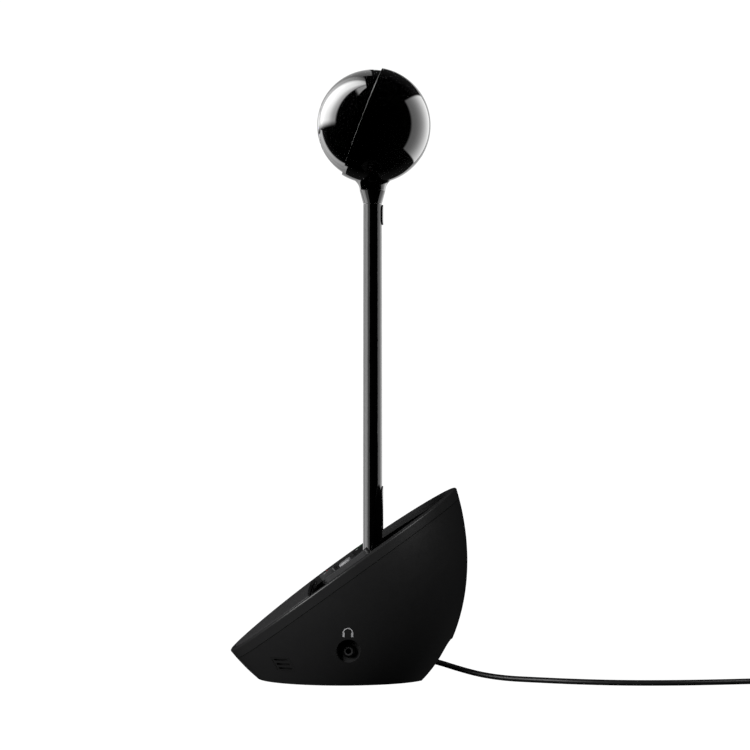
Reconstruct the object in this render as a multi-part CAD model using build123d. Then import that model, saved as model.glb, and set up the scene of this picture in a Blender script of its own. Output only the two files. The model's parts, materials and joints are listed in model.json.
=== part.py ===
from build123d import *
import math
import os

# A desktop pan-tilt conference camera: a ball camera on a plug-in pole, standing in a speakerphone base.
# Millimetres. +Z is up, -Y is the front (lens and keypad side), +X is the user's right.
# The origin is on the table, at the centre of the object's outline.
# U is measured up the tilted face from its middle, W straight out of it.

# ---------------------------------------------------------------- base bowl
FACE_Y = -5.6
FACE_Z = 71.35
FACE_TILT = 35.8
CROWN_RADIUS = 2010.0
CREST_X = 72.4
CREST_U = 82.7
LEDGE_WIDTH = 3.2

BOWL_SEMI = (79.6, 88.5, 120.0)
BOWL_CENTRE = (0.0, -17.3, 95.7)
BOWL_LEAN = 17.8
WALL = 2.6

FLOOR_LOW = 1.0
FLOOR_HIGH = 3.4
FLOOR_CENTRE_Y = -4.2
COVER_RADIUS = 34.0
COVER_GAP = 0.2
COVER_LIP = 3.0
COVER_LIP_HEIGHT = 1.4
COVER_BOWL_GAP = 0.3
FOOT_INNER = 26.0
FOOT_OUTER = 32.0
FOOT_HEIGHT = 1.6

BEZEL_DEPTH = 6.6
SEAM_GAP = 0.3
LIP_FILLET = 1.2
LIP_CHAMFER = 0.4
LIP_EDGE_DEPTH = 3.0
LIP_OUTER_MARGIN = 1.5
SAME_PLACE = 0.2

# ---------------------------------------------------------------- bottom screws and ballast
SCREW_CIRCLE = 22.0
SCREW_ANGLES = (45, 135, 225, 315)
SCREW_SHANK = 1.4
SCREW_HEAD = 2.8
SCREW_HEAD_HEIGHT = 1.4
SCREW_SUNK = 0.2
SCREW_TOP = 12.0
SCREW_GAP = 0.1
SCREW_ROOM = 0.3
SCREW_SLOT = (3.2, 0.7, 0.8)
SCREW_SLOT_Z = 0.5
BALLAST_SIZE = (46.0, 40.0, 4.4)
BALLAST_Y = 3.0
BALLAST_Z = 7.2
BALLAST_CORNER = 1.0

# ---------------------------------------------------------------- headset jack and microphone louvres
JACK_Y = 0.0
JACK_Z = 23.5
JACK_FLOOR_X = 57.6
JACK_WALL = 1.8
JACK_RECESS_RADIUS = 7.0
JACK_RECESS_MOUTH = 8.2
JACK_RECESS_LENGTH = 14.0
JACK_NOSE_X = 52.0
JACK_NOSE_LENGTH = 15.6
JACK_BLOCK = (11.0, 11.0, 10.0)
JACK_BLOCK_X = 48.0
JACK_BORE = 1.8
JACK_BORE_LENGTH = 14.0
COLLAR_OUTER = 3.9
COLLAR_INNER = 2.6
COLLAR_FIT = 0.02
COLLAR_X = 57.4
COLLAR_LENGTH = 5.4
COLLAR_HOLE_LENGTH = 12.0
COLLAR_CHAMFER = 0.4

LOUVRE_Y = -40.2
LOUVRE_Z = 14.4
LOUVRE_LENGTH = 11.0
LOUVRE_HEIGHT = 8.2
LOUVRE_SHEAR = 4.4
LOUVRE_SLOT = 1.2
LOUVRE_SLOT_LENGTH = 8.4
LOUVRE_PITCH = 2.8
LOUVRE_ROWS = (-1, 0, 1)
LOUVRE_GAP = 0.15
LOUVRE_SUNK = 0.25
LOUVRE_BACK = 0.6
LOUVRE_FROM_X = 30.0
LOUVRE_REACH = 60.0

# ---------------------------------------------------------------- speaker and main board
SPEAKER_U = -50.0
SPEAKER_RADIUS = 28.0
SPEAKER_RIM_W = -9.2
SPEAKER_RIM_THICK = 1.6
CUP_W = -15.0
CUP_LOW_RADIUS = 13.0
CUP_INSET = 2.0
CUP_DEPTH = 10.0
CUP_HOLLOW_W = -13.4
CUP_HOLLOW_LOW_RADIUS = 10.5
CUP_HOLLOW_INSET = 2.4
CUP_SEAT_W = -20.0
CUP_SEAT_RADIUS = 9.0
CUP_SEAT_DEPTH = 6.0
CONE_RADIUS = 25.0
CONE_LOW_RADIUS = 9.0
CONE_DEPTH = 8.6
CONE_OUTSIDE_W = -13.0
CONE_INSIDE_W = -12.4
CONE_CAP_W = -16.6
CONE_CAP_RADIUS = 8.0
CONE_CAP_THICK = 1.0
MAGNET_RADIUS = 15.0
MAGNET_W = -25.2
MAGNET_DEPTH = 10.2
MAGNET_POLE_W = -19.4
MAGNET_POLE_RADIUS = 6.5
MAGNET_POLE_DEPTH = 1.4

BOARD_SIZE = (52.0, 46.0, 1.6)
BOARD_PLACE = (0.0, 1.0, 14.8)
CHIP_SIZE = (14.0, 14.0, 1.6)
CHIP_PLACE = (-8.0, 2.0, 16.4)
CODEC_SIZE = (8.0, 8.0, 1.2)
CODEC_PLACE = (13.0, -6.0, 16.2)
CHOKE_SIZE = (9.0, 9.0, 4.0)
CHOKE_PLACE = (14.0, 12.0, 17.6)

# ---------------------------------------------------------------- face: grille and panel
GRILLE_EDGE_U = -22.4
GRILLE_BOW = 2.2
GRILLE_TOP = 0.2
GRILLE_THICK = 1.5
GRILLE_HEM = 1.6
GRILLE_OVERRUN = 5.0
PANEL_TOP = -2.2
PANEL_THICK = 2.0
PANEL_HOLE_GAP = 0.5
EDGE_GAP = 0.2
JOIN = 0.1

# ---------------------------------------------------------------- keys: X, U, length up the face, width
VOLUME_KEY = (35.0, 5.5, 33.0, 8.6)
END_KEY = (-31.0, -10.0, 12.6, 11.0)
ANSWER_KEY = (-31.0, 15.5, 11.6, 10.0)
MUTE_KEY = (0.0, -11.0, 8.0, 15.0)
PAD_KEY = (-1.0, 4.0, 8.6, 19.0)
KEYS = (VOLUME_KEY, END_KEY, ANSWER_KEY, MUTE_KEY, PAD_KEY)
VOLUME_TOP = 1.9
END_TOP = 1.2
ANSWER_TOP = 1.6
MUTE_TOP = -1.4
PAD_TOP = 1.2
KEY_GAP = 0.35
KEY_ROUNDING = 0.7
KEY_FLANGE = 0.8
KEY_FLANGE_TOP = -4.8
KEY_FLANGE_THICK = 0.8
ROCKER_ROOF_RADIUS = 9.0
ROCKER_SADDLE_RADIUS = 150.0
ROCKER_SADDLE_DEPTH = 0.9
PAD_HOLE_RADIUS = 1.8
PAD_HOLE_W = -5.0
PAD_HOLE_DEPTH = 6.0
PIVOT_RADIUS = 1.2
PIVOT_W = -4.9
PIVOT_HEIGHT = 5.2

MAT_TOP = -7.7
MAT_THICK = 0.8
MAT_HALF_X = 42.0
MAT_LOW_U = -18.5
MAT_HIGH_U = 24.0
MAT_CORNER = 4.0
BOARD_THICK = 1.4
DOME_HEIGHT = 0.9
DOME_LOW_RADIUS = 2.6
DOME_TOP_RADIUS = 1.7
VOLUME_DOME_U = 11.0
PAD_DOME_X = 6.5

# ---------------------------------------------------------------- pole
AXIS_Y = 14.8
POLE_X = 16.4
POLE_Y_TOP = 11.8
POLE_Y_BOTTOM = 12.3
POLE_LOW_Z = 60.0
POLE_TOP_Z = 299.7
POLE_SEAT_GAP = 0.3
PLUG_X = 13.4
PLUG_Y = 8.9
PLUG_FIT = 0.2
PLUG_LOW_Z = 50.0
PLUG_HIGH_Z = 115.0
SOCKET_WALL = 2.6
SOCKET_CLEARANCE = 0.2
SOCKET_FLOOR = 3.0
SOCKET_SURROUND = 2.0
WIRE_HOLE = 2.0
WIRING_RADIUS = 1.6
WIRING_LOW_Z = 60.0
WIRING_HIGH_Z = 270.0

# Release buttons: lower end, upper end, width.
LOWER_BUTTON = (94.0, 122.0, 8.0)
UPPER_BUTTON = (286.6, 299.2, 7.0)
BUTTON_TRAVEL = 1.2
BUTTON_PROUD = 0.7
BUTTON_OVAL_GROWTH = 0.3
BUTTON_GAP = 0.15
BUTTON_INNER_Y = 18.9
BUTTON_SLOT_FRONT = 2.0
BUTTON_SLOT_BACK = 12.0
BUTTON_ROOM_DEPTH = 20.0
LOWER_ROOM = (12.0, 32.0, 108.0, 0.3)
UPPER_ROOM = (10.0, 14.4, 292.5, 0.2)

TOP_SOCKET_LOW_Z = 268.0
NECK_PLUG_X = 10.4
NECK_PLUG_Y = 5.4
NECK_PLUG_GAP = 0.4
NECK_PLUG_LOW_Z = 276.0

# ---------------------------------------------------------------- neck
COLLAR_LOW_Z = 299.95
COLLAR_HIGH_Z = 308.2
COLLAR_RADIUS = 8.1
PAN_GAP = 0.25
BOSS_RADIUS = 6.0
BEARING_RADIUS = 6.55
BEARING_GAP = 0.3
PAN_BORE = 6.62
FLANGE_TOP_Z = 309.6
CAVITY_RADIUS = 7.15
CAVITY_TOP_Z = 325.0
MOTOR_RADIUS = 2.8
MOTOR_FIT = 0.02
MOTOR_FLOOR = 0.4
MOTOR_END_GAP = 0.1
SHAFT_HOLE = 0.8
SHAFT_RADIUS = 0.6
SHAFT_SUNK = 0.05
WIRE_PASS_X = -1.2
WIRE_PASS_RADIUS = 1.3
RETAINER_LOW = 0.05
RETAINER_HIGH = 0.3
RETAINER_GAP = 0.2
RETAINER_SHAFT_HOLE = 0.9

# ---------------------------------------------------------------- head shell
HEAD_Z = 349.3
SHELL_RADIUS = 36.6
SHELL_WALL = 1.2
SHELL_INNER = SHELL_RADIUS - SHELL_WALL
RIM_TILT = 21.0
RIM_FORWARD = 7.0
TRUMPET_WAIST = (8.75, 311.3)
TRUMPET_FLARE = (12.0, 315.1)
TRUMPET_MEET = (19.6, 318.7)
TRUMPET_TOP_Z = 330.0
TRUMPET_FOOT_SLOPE = (0.08, 0, 1)
TRUMPET_MEET_SLOPE = (1, 0, 0.56)
PLUG_DROP = 29.0
PLUG_COVER_RADIUS = 2.8
PLUG_COVER_GAP = 0.1
PLUG_COVER_LENGTH = 8.0
PLUG_COVER_SUNK = 0.35
PIN_RADIUS = 2.0
PIN_HOLE_INSET = 3.0
PIN_HOLE_LENGTH = 7.6
PIN_OUTER = SHELL_INNER + 0.8
PIN_INSIDE_BALL = 3.6
RUNNING = 0.05

# ---------------------------------------------------------------- tilt motor and its chassis
TILT_MOTOR_RADIUS = 4.6
TILT_MOTOR_LENGTH = 24.0
TILT_MOTOR_X = 9.0
TILT_SHAFT_X = 21.1
TILT_SHAFT_RADIUS = 0.9
CHASSIS_SIZE = (20.0, 16.0, 21.0)
CHASSIS_X = 2.0
CHASSIS_BEHIND = 8.0
CHASSIS_DROP = 5.5
CHASSIS_SADDLE_GAP = 0.02
CHASSIS_SADDLE_LENGTH = 60.0
CHASSIS_SHELL_GAP = 0.05
CHASSIS_BOSS_RADIUS = 3.6
CHASSIS_BOSS_LENGTH = 8.0
CHASSIS_BOSS_INSET = 4.1
CHASSIS_SCREW_HOLE = 1.25
CHASSIS_SCREW_REACH = 30.0
HEAD_SCREW_RADIUS = 1.2
HEAD_SCREW_LENGTH = 13.0
HEAD_SCREW_DISTANCE = 28.3

# ---------------------------------------------------------------- ball and lens
BALL_RADIUS = 35.1
BALL_WALL = 1.6
BALL_BACK = -13.1
LENS_NEAR = 20.0
LENS_FAR = 60.0
WINDOW_RADIUS = 11.5
WINDOW_SUNK = 0.05
WINDOW_THICK = 1.2
LED_OUTER = 13.2
LED_SUNK = 0.15
LED_THICK = 2.2
LENS_FIT = 0.02
LENS_BAND_NEAR = 10.0
LENS_BAND_FAR = 70.0
BUSH_OUTER = 3.2
BUSH_FIT = 0.01
BUSH_LENGTH = 2.6
BUSH_INSET = 1.8
BARREL_RADIUS = 9.6
BARREL_SPAN = (9.0, 31.0)
BARREL_FLANGE_RADIUS = 13.0
BARREL_FLANGE_SPAN = (28.4, 31.4)
BARREL_FLANGE_INSET = 2.5
BARREL_BORE = 7.0
BARREL_BORE_SPAN = (10.5, 40.0)
ELEMENT_RADIUS = 6.9
ELEMENT_SPANS = ((24.0, 27.4), (14.0, 16.2))
SENSOR_SIZE = (25.0, 1.6, 25.0)
SENSOR_Y = -8.2

# ---------------------------------------------------------------- gears
PAN_MODULE = 0.28
PAN_RING_TEETH = 40
PAN_PINION_TEETH = 10
PAN_PITCH = PAN_MODULE * (PAN_RING_TEETH - PAN_PINION_TEETH) / 2
PAN_GEAR_LIFT = 0.5
TILT_MODULE = 0.5
TILT_SECTOR_TEETH = 72
TILT_PINION_TEETH = 12
TILT_PITCH = TILT_MODULE * (TILT_SECTOR_TEETH + TILT_PINION_TEETH) / 2
GEAR_WIDTH = 2.0
SECTOR_X = 23.0
SECTOR_HALF_ANGLE = 42.0
SECTOR_REACH = 30.0
SECTOR_HUB = 7.0
SECTOR_CORNER = 6.0
SECTOR_WALL = 3.1
SECTOR_PIN_GAP = 0.1
SECTOR_PIN_X = 7.6
SECTOR_PIN_DEPTH = 3.0
TOOTH_ADDENDUM = 0.7
TOOTH_FOOT = 0.29
TOOTH_CREST = 0.12

# ---------------------------------------------------------------- rear pocket and USB lead
POCKET_HALF = 17.5
POCKET_HEIGHT = 26.4
POCKET_CORNER = 6.0
POCKET_BACK_Y = 34.0
POCKET_WALL = 2.0
POCKET_COVER_GAP = 2.3
POCKET_HOLE_DEPTH = 8.0
DC_X = -10.0
DC_HOLE = 4.0
DC_RADIUS = 3.9
DC_LENGTH = 10.0
DC_DEPTH = 3.0
DC_BORE = 2.75
DC_BORE_LENGTH = 8.0
DC_BORE_DEPTH = 1.5
DC_PIN = 0.9
GLAND_Z = 15.4
GLAND_HOLE = 3.0
GRIP_RADIUS = 2.95
GRIP_LENGTH = 4.4
GLAND_COLLAR_RADIUS = 3.8
GLAND_COLLAR_LENGTH = 2.0
GLAND_STEP = 1.0
TAPER_LENGTH = 9.0
TAPER_WIDE = 3.1
TAPER_NARROW = 2.1

CORD_RADIUS = 1.8
BEND_SHARE = 0.45
COIL_CENTRE = (2.0, 292.0)
COIL_INNER = 14.9
COIL_OUTER = 26.6
COIL_LOW = 0.1
COIL_HEIGHT = 14.5
PLUG_PLACE = (-6.0, 307.0)
PLUG_TURN = 180.0
PLUG_BODY = (28.0, 15.5, 8.0)
PLUG_BODY_ROUNDING = 2.4
PLUG_SHELL = (18.8, 12.0, 4.5)
PLUG_MOUTH = (17.0, 11.2, 2.4)
PLUG_MOUTH_LIFT = 0.6
PLUG_RELIEF_LENGTH = 8.0
PLUG_RELIEF_WIDE = 3.0

# Centre line of the lead from the gland to the coil, chosen by hand.
CORD_ROUTE = [
    (0.0, 44.0, 13.6),
    (0.6, 55.0, 11.3),
    (2.4, 68.0, 7.2),
    (6.2, 82.5, 3.6),
    (12.6, 98.0, 1.9),
    (22.0, 117.0, 1.9),
    (32.6, 141.0, 1.9),
    (39.6, 170.0, 1.9),
    (39.6, 200.0, 1.9),
    (35.2, 228.0, 1.9),
    (29.4, 252.0, 1.9),
    (27.0, 270.0, 1.9),
    (26.4, 283.0, 1.9),
]

# A length far beyond the object, and a cut that clears any one part.
BIG = 400.0
CLEAR = 60.0

os.makedirs("parts", exist_ok=True)


def save(name, *solids):
    """Write one node; several solids make one group."""
    shape = solids[0] if len(solids) == 1 else Compound(children=list(solids))
    export_step(shape, f"parts/{name}.step")


# ================================================================ shared geometry
FACE = Location(Plane(
    origin=(0, FACE_Y, FACE_Z),
    x_dir=(1, 0, 0),
    z_dir=(0, -math.sin(math.radians(FACE_TILT)), math.cos(math.radians(FACE_TILT))),
))
HEAD = Pos(0, AXIS_Y, HEAD_Z)
RIM = Location(Plane(
    origin=(0, AXIS_Y, HEAD_Z),
    x_dir=(1, 0, 0),
    z_dir=(0, -math.cos(math.radians(RIM_TILT)), math.sin(math.radians(RIM_TILT))),
))
SIDEWAYS = Location(Plane.YZ)
ALONG_X = Rot(0, 90, 0)
ALONG_Y = Rot(90, 0, 0)


def prism(outline, low, high):
    """Raise an outline drawn on the tilted face, between two heights above it."""
    return extrude(FACE * Pos(0, 0, low) * outline, high - low)


def crown(height):
    """Everything below the gently crowned face, raised or sunk by height."""
    drum = Cylinder(CROWN_RADIUS, BIG)
    return FACE * Pos(0, 0, height - CROWN_RADIUS) * ALONG_X * drum


def crown_layer(outline, low, high):
    """A sheet that follows the crowned face between two heights."""
    return (prism(outline, -CLEAR, CLEAR) & crown(high)) - crown(low)


def bowl(inset=0.0):
    """The bowl's ellipsoid, shrunk by inset all round."""
    semi = [axis - inset for axis in BOWL_SEMI]
    sphere = scale(Sphere(semi[2]), by=(semi[0] / semi[2], semi[1] / semi[2], 1))
    return Pos(*BOWL_CENTRE) * Rot(BOWL_LEAN, 0, 0) * sphere


def above(z):
    """A block that fills the space above a level."""
    return Pos(0, 0, z + BIG / 2) * Box(BIG, BIG, BIG)


def disc(radius, low, high, x=0.0, y=0.0):
    """A vertical cylinder between two levels."""
    return Pos(x, y, (low + high) / 2) * Cylinder(radius, high - low)


def ring(outer, inner, low, high, x=0.0, y=0.0):
    """A vertical tube between two levels."""
    return disc(outer, low, high, x, y) - disc(inner, low - 1, high + 1, x, y)


def drill(radius, low, high, x=0.0):
    """A vertical cylinder near the pole's axis, between two levels."""
    return disc(radius, low, high, x, AXIS_Y)


def oval_post(size_x, size_y, low, high):
    """A vertical oval column on the pole's axis."""
    return Pos(0, AXIS_Y, low) * extrude(Ellipse(size_x / 2, size_y / 2), high - low)


def gear_outline(teeth, module, phase, internal=False):
    """Gear teeth as straight-sided flanks; one tooth is centred on the phase angle."""
    pitch_radius = teeth * module / 2
    sign = -1 if internal else 1
    root = pitch_radius - sign * module
    tip = pitch_radius + sign * TOOTH_ADDENDUM * module
    step = 360 / teeth
    corners = ((root, -TOOTH_FOOT), (tip, -TOOTH_CREST), (tip, TOOTH_CREST), (root, TOOTH_FOOT))
    points = []
    for tooth in range(teeth):
        centre = phase + tooth * step
        for radius, share in corners:
            angle = math.radians(centre + share * step)
            points.append((radius * math.cos(angle), radius * math.sin(angle)))
    return make_face(Polyline(*points, close=True))


# ================================================================ base: shell, bezel and floor
def pocket_block(grow):
    """The cable pocket's arch, grown for its walls."""
    width = 2 * (POCKET_HALF + grow)
    height = 2 * (POCKET_HEIGHT + grow)
    outline = RectangleRounded(width, height, POCKET_CORNER + grow)
    plane = Plane(origin=(0, POCKET_BACK_Y - grow, 0), x_dir=(1, 0, 0), z_dir=(0, -1, 0))
    return extrude(plane * outline, -BIG / 2)


def sideways(shape, x):
    """Stand an outline drawn in (Y, Z) up at a given X."""
    return Plane(origin=(x, 0, 0), x_dir=(0, 1, 0), z_dir=(1, 0, 0)) * shape


def slanted(length, height, shear, y, z):
    """A parallelogram whose foot leans to the rear."""
    half_l = length / 2
    half_h = height / 2
    lean = shear / 2
    corners = [
        (y - half_l - lean, z + half_h),
        (y + half_l - lean, z + half_h),
        (y + half_l + lean, z - half_h),
        (y - half_l + lean, z - half_h),
    ]
    return make_face(Polyline(*corners, close=True))


def louvre_block(grow, side):
    """A slanted block through the bowl's wall where the microphone insert sits."""
    length = LOUVRE_LENGTH + 2 * grow
    height = LOUVRE_HEIGHT + 2 * grow
    outline = slanted(length, height, LOUVRE_SHEAR, LOUVRE_Y, LOUVRE_Z)
    block = extrude(sideways(outline, LOUVRE_FROM_X), LOUVRE_REACH)
    return block if side > 0 else mirror(block, about=Plane.YZ)


def jack_recess(grow):
    """The round dish that the headset jack sits in."""
    cone = Cone(JACK_RECESS_RADIUS + grow, JACK_RECESS_MOUTH + grow, JACK_RECESS_LENGTH)
    return Pos(JACK_FLOOR_X - grow + JACK_RECESS_LENGTH / 2, JACK_Y, JACK_Z) * ALONG_X * cone


def jack_rod(radius, length, x):
    """A cylinder on the headset jack's axis."""
    return Pos(x, JACK_Y, JACK_Z) * ALONG_X * Cylinder(radius, length)


def pocket_rod(radius, length, x, y):
    """A cylinder that runs front to back through the cable pocket's wall."""
    return Pos(x, y, GLAND_Z) * ALONG_Y * Cylinder(radius, length)


def floor_disc(radius, low, high):
    """A disc on the centre of the base's floor."""
    return disc(radius, low, high, 0, FLOOR_CENTRE_Y)


def screw_places():
    """Where the bottom screws stand."""
    angles = [math.radians(angle) for angle in SCREW_ANGLES]
    return [(SCREW_CIRCLE * math.cos(a), SCREW_CIRCLE * math.sin(a) + FLOOR_CENTRE_Y) for a in angles]


def lower_shell():
    """The bowl below the bezel's seam, with its pocket, jack dish and louvre openings."""
    outside = bowl() & crown(-BEZEL_DEPTH - SEAM_GAP) & above(FLOOR_LOW)
    inside = bowl(WALL) & above(FLOOR_HIGH)
    shell = outside - inside
    shell += outside & pocket_block(POCKET_WALL)
    shell += outside & jack_recess(JACK_WALL)
    shell -= pocket_block(0)
    shell -= jack_recess(0)
    shell -= jack_rod(COLLAR_OUTER, COLLAR_HOLE_LENGTH, JACK_FLOOR_X)
    for side in (1, -1):
        shell -= louvre_block(LOUVRE_GAP, side)
    shell -= floor_disc(COVER_RADIUS, 0, FLOOR_HIGH + 1)
    shell -= pocket_rod(GLAND_HOLE, POCKET_HOLE_DEPTH, 0, POCKET_BACK_Y)
    return shell - pocket_rod(DC_HOLE, POCKET_HOLE_DEPTH, DC_X, POCKET_BACK_Y)


def height_on_face(edge):
    """Mean height of an edge above the tilted face."""
    local = [FACE.inverse() * Pos(*(edge @ t)) for t in (0.1, 0.4, 0.7)]
    return sum(place.position.Z for place in local) / len(local)


def is_near(edge, others):
    """Whether an edge's middle lies on the middle of one of the others."""
    return any((edge @ 0.5 - other @ 0.5).length < SAME_PLACE for other in others)


def round_lip(body, edges):
    """Round the bezel's outer edge and break its inner one."""
    outer = [edge for edge in edges if edge.bounding_box().max.X > CREST_X + LIP_OUTER_MARGIN]
    inner = [edge for edge in edges if edge not in outer]
    body = fillet(outer, LIP_FILLET)
    again = [edge for edge in body.edges() if is_near(edge, inner)]
    return chamfer(again, LIP_CHAMFER)


def bezel():
    """The ring round the tilted face, with a ledge that carries the grille and the panel."""
    crest = Ellipse(CREST_X, CREST_U)
    ledge = Ellipse(CREST_X - LEDGE_WIDTH, CREST_U - LEDGE_WIDTH)
    body = (bowl() & crown(0)) - crown(-BEZEL_DEPTH)
    body -= prism(crest, -CLEAR, CLEAR) - crown(PANEL_TOP - PANEL_THICK)
    body -= prism(ledge, -CLEAR, CLEAR)
    top_edges = [edge for edge in body.edges() if height_on_face(edge) > -LIP_EDGE_DEPTH]
    return round_lip(body, top_edges)


def bottom_cover():
    """The screwed disc that closes the bowl and carries the foot."""
    lip_top = FLOOR_HIGH + COVER_LIP_HEIGHT
    plate = floor_disc(COVER_RADIUS - COVER_GAP, FLOOR_LOW, FLOOR_HIGH)
    plate += floor_disc(COVER_RADIUS + COVER_LIP, FLOOR_HIGH, lip_top) & bowl(WALL + COVER_BOWL_GAP)
    plate -= Pos(0, FLOOR_CENTRE_Y, 0) * ring(FOOT_OUTER, FOOT_INNER, 0, FOOT_HEIGHT)
    plate -= pocket_block(POCKET_COVER_GAP)
    for x, y in screw_places():
        plate -= disc(SCREW_HEAD + COVER_GAP, 0, FLOOR_LOW + SCREW_HEAD_HEIGHT, x, y)
        plate -= disc(SCREW_SHANK + SCREW_GAP, 0, SCREW_TOP, x, y)
    return plate


def bottom_screws():
    """Cross-headed screws, sunk in the bottom cover."""
    length, width, depth = SCREW_SLOT
    screws = []
    for x, y in screw_places():
        head_top = FLOOR_LOW + SCREW_HEAD_HEIGHT
        screw = disc(SCREW_HEAD, FLOOR_LOW + SCREW_SUNK, head_top, x, y)
        screw += disc(SCREW_SHANK, head_top, SCREW_TOP, x, y)
        screw -= Pos(x, y, FLOOR_LOW + SCREW_SLOT_Z) * Box(length, width, depth)
        screw -= Pos(x, y, FLOOR_LOW + SCREW_SLOT_Z) * Box(width, length, depth)
        screws.append(screw)
    return screws


def ballast_plate():
    """A steel weight that keeps the base steady, screwed down with the cover."""
    plate = Pos(0, BALLAST_Y, BALLAST_Z) * Box(*BALLAST_SIZE)
    for x, y in screw_places():
        plate -= disc(SCREW_SHANK + SCREW_ROOM, 0, BIG, x, y)
    upright = plate.edges().filter_by(Axis.Z).group_by(lambda edge: edge.length)[-1]
    return fillet(upright, BALLAST_CORNER)


save("base_lower_shell", lower_shell())
save("bezel_ring", bezel())
save("bottom_cover", bottom_cover())
save("rubber_foot", Pos(0, FLOOR_CENTRE_Y, 0) * ring(FOOT_OUTER, FOOT_INNER, 0, FOOT_HEIGHT))
save("bottom_screws", *bottom_screws())
save("ballast_plate", ballast_plate())


# ================================================================ base: speaker, boards, sockets
def speaker_at(w):
    """The speaker's axis, at a height above the tilted face."""
    return FACE * Pos(0, SPEAKER_U, w)


def speaker_basket():
    """The pressed cup that holds the speaker together."""
    rim = speaker_at(SPEAKER_RIM_W) * Cylinder(SPEAKER_RADIUS, SPEAKER_RIM_THICK)
    cup = speaker_at(CUP_W) * Cone(CUP_LOW_RADIUS, SPEAKER_RADIUS - CUP_INSET, CUP_DEPTH)
    hollow_radius = SPEAKER_RADIUS - CUP_HOLLOW_INSET
    hollow = speaker_at(CUP_HOLLOW_W) * Cone(CUP_HOLLOW_LOW_RADIUS, hollow_radius, CUP_DEPTH)
    seat = speaker_at(CUP_SEAT_W) * Cylinder(CUP_SEAT_RADIUS, CUP_SEAT_DEPTH)
    return rim + cup - hollow - seat


def speaker_cone():
    """The paper cone and its dust cap."""
    outside = speaker_at(CONE_OUTSIDE_W) * Cone(CONE_LOW_RADIUS, CONE_RADIUS, CONE_DEPTH)
    inside = speaker_at(CONE_INSIDE_W) * Cone(CONE_LOW_RADIUS, CONE_RADIUS, CONE_DEPTH)
    cap = speaker_at(CONE_CAP_W) * Cylinder(CONE_CAP_RADIUS, CONE_CAP_THICK)
    return outside - inside + cap


def speaker_magnet():
    """The magnet and its pole piece."""
    body = speaker_at(MAGNET_W) * Cylinder(MAGNET_RADIUS, MAGNET_DEPTH)
    pole = speaker_at(MAGNET_POLE_W) * Cylinder(MAGNET_POLE_RADIUS, MAGNET_POLE_DEPTH)
    return body + pole


def main_board():
    """The main circuit board with its three largest parts."""
    board = Pos(*BOARD_PLACE) * Box(*BOARD_SIZE)
    chip = Pos(*CHIP_PLACE) * Box(*CHIP_SIZE)
    codec = Pos(*CODEC_PLACE) * Box(*CODEC_SIZE)
    choke = Pos(*CHOKE_PLACE) * Box(*CHOKE_SIZE)
    return board + chip + codec + choke


def jack_body():
    """The headset jack's housing with its bore."""
    nose = jack_rod(COLLAR_INNER, JACK_NOSE_LENGTH, JACK_NOSE_X)
    block = Pos(JACK_BLOCK_X, JACK_Y, JACK_Z) * Box(*JACK_BLOCK)
    mouth_x = JACK_NOSE_X + JACK_NOSE_LENGTH / 2
    bore = jack_rod(JACK_BORE, JACK_BORE_LENGTH, mouth_x - JACK_BORE_LENGTH / 2)
    return nose + block - bore


def jack_collar():
    """The chamfered ring round the jack's mouth."""
    outside = jack_rod(COLLAR_OUTER - COLLAR_FIT, COLLAR_LENGTH, COLLAR_X)
    inside = jack_rod(COLLAR_INNER + COLLAR_FIT, COLLAR_LENGTH + 1, COLLAR_X)
    collar = outside - inside
    mouth = collar.edges().sort_by(Axis.X)[-2:]
    return chamfer(mouth, COLLAR_CHAMFER)


def mic_louvre(side):
    """A slanted insert with three slots in front of a microphone."""
    insert = (louvre_block(0, 1) & bowl(LOUVRE_SUNK)) - bowl(WALL + LOUVRE_BACK)
    slope = LOUVRE_SHEAR / LOUVRE_HEIGHT
    for row in LOUVRE_ROWS:
        y = LOUVRE_Y - row * LOUVRE_PITCH * slope
        z = LOUVRE_Z + row * LOUVRE_PITCH
        outline = slanted(LOUVRE_SLOT_LENGTH, LOUVRE_SLOT, LOUVRE_SLOT * slope, y, z)
        insert -= extrude(sideways(outline, LOUVRE_FROM_X), LOUVRE_REACH) - bowl(WALL)
    return insert if side > 0 else mirror(insert, about=Plane.YZ)


def dc_socket():
    """A round power socket beside the lead, with its centre pin."""
    body = pocket_rod(DC_RADIUS, DC_LENGTH, DC_X, POCKET_BACK_Y - DC_DEPTH)
    bore = pocket_rod(DC_BORE, DC_BORE_LENGTH, DC_X, POCKET_BACK_Y - DC_BORE_DEPTH)
    pin = pocket_rod(DC_PIN, DC_BORE_LENGTH, DC_X, POCKET_BACK_Y - DC_DEPTH)
    return body - bore + pin


def lead_gland():
    """A collared, tapered strain relief that points out of the pocket along the lead."""
    grip = pocket_rod(GRIP_RADIUS, GRIP_LENGTH, 0, POCKET_BACK_Y - GLAND_STEP)
    collar = pocket_rod(GLAND_COLLAR_RADIUS, GLAND_COLLAR_LENGTH, 0, POCKET_BACK_Y + GLAND_STEP)
    exit_point = Vector(*CORD_ROUTE[0])
    aim = Location(Plane(origin=exit_point, z_dir=Vector(*CORD_ROUTE[1]) - exit_point))
    taper = aim * Pos(0, 0, -TAPER_LENGTH / 2) * Cone(TAPER_WIDE, TAPER_NARROW, TAPER_LENGTH)
    return grip + collar + taper


save("speaker_basket", speaker_basket())
save("speaker_cone", speaker_cone())
save("speaker_magnet", speaker_magnet())
save("main_board", main_board())
save("jack_body", jack_body())
save("jack_collar", jack_collar())
save("mic_louvre_right", mic_louvre(1))
save("mic_louvre_left", mic_louvre(-1))
save("dc_socket", dc_socket())
save("lead_gland", lead_gland())


# ================================================================ face: grille, panel, keys
def face_outline(edge_gap):
    """The ellipse inside the bezel's crest, drawn in by a gap."""
    return Ellipse(CREST_X - edge_gap, CREST_U - edge_gap)


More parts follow.
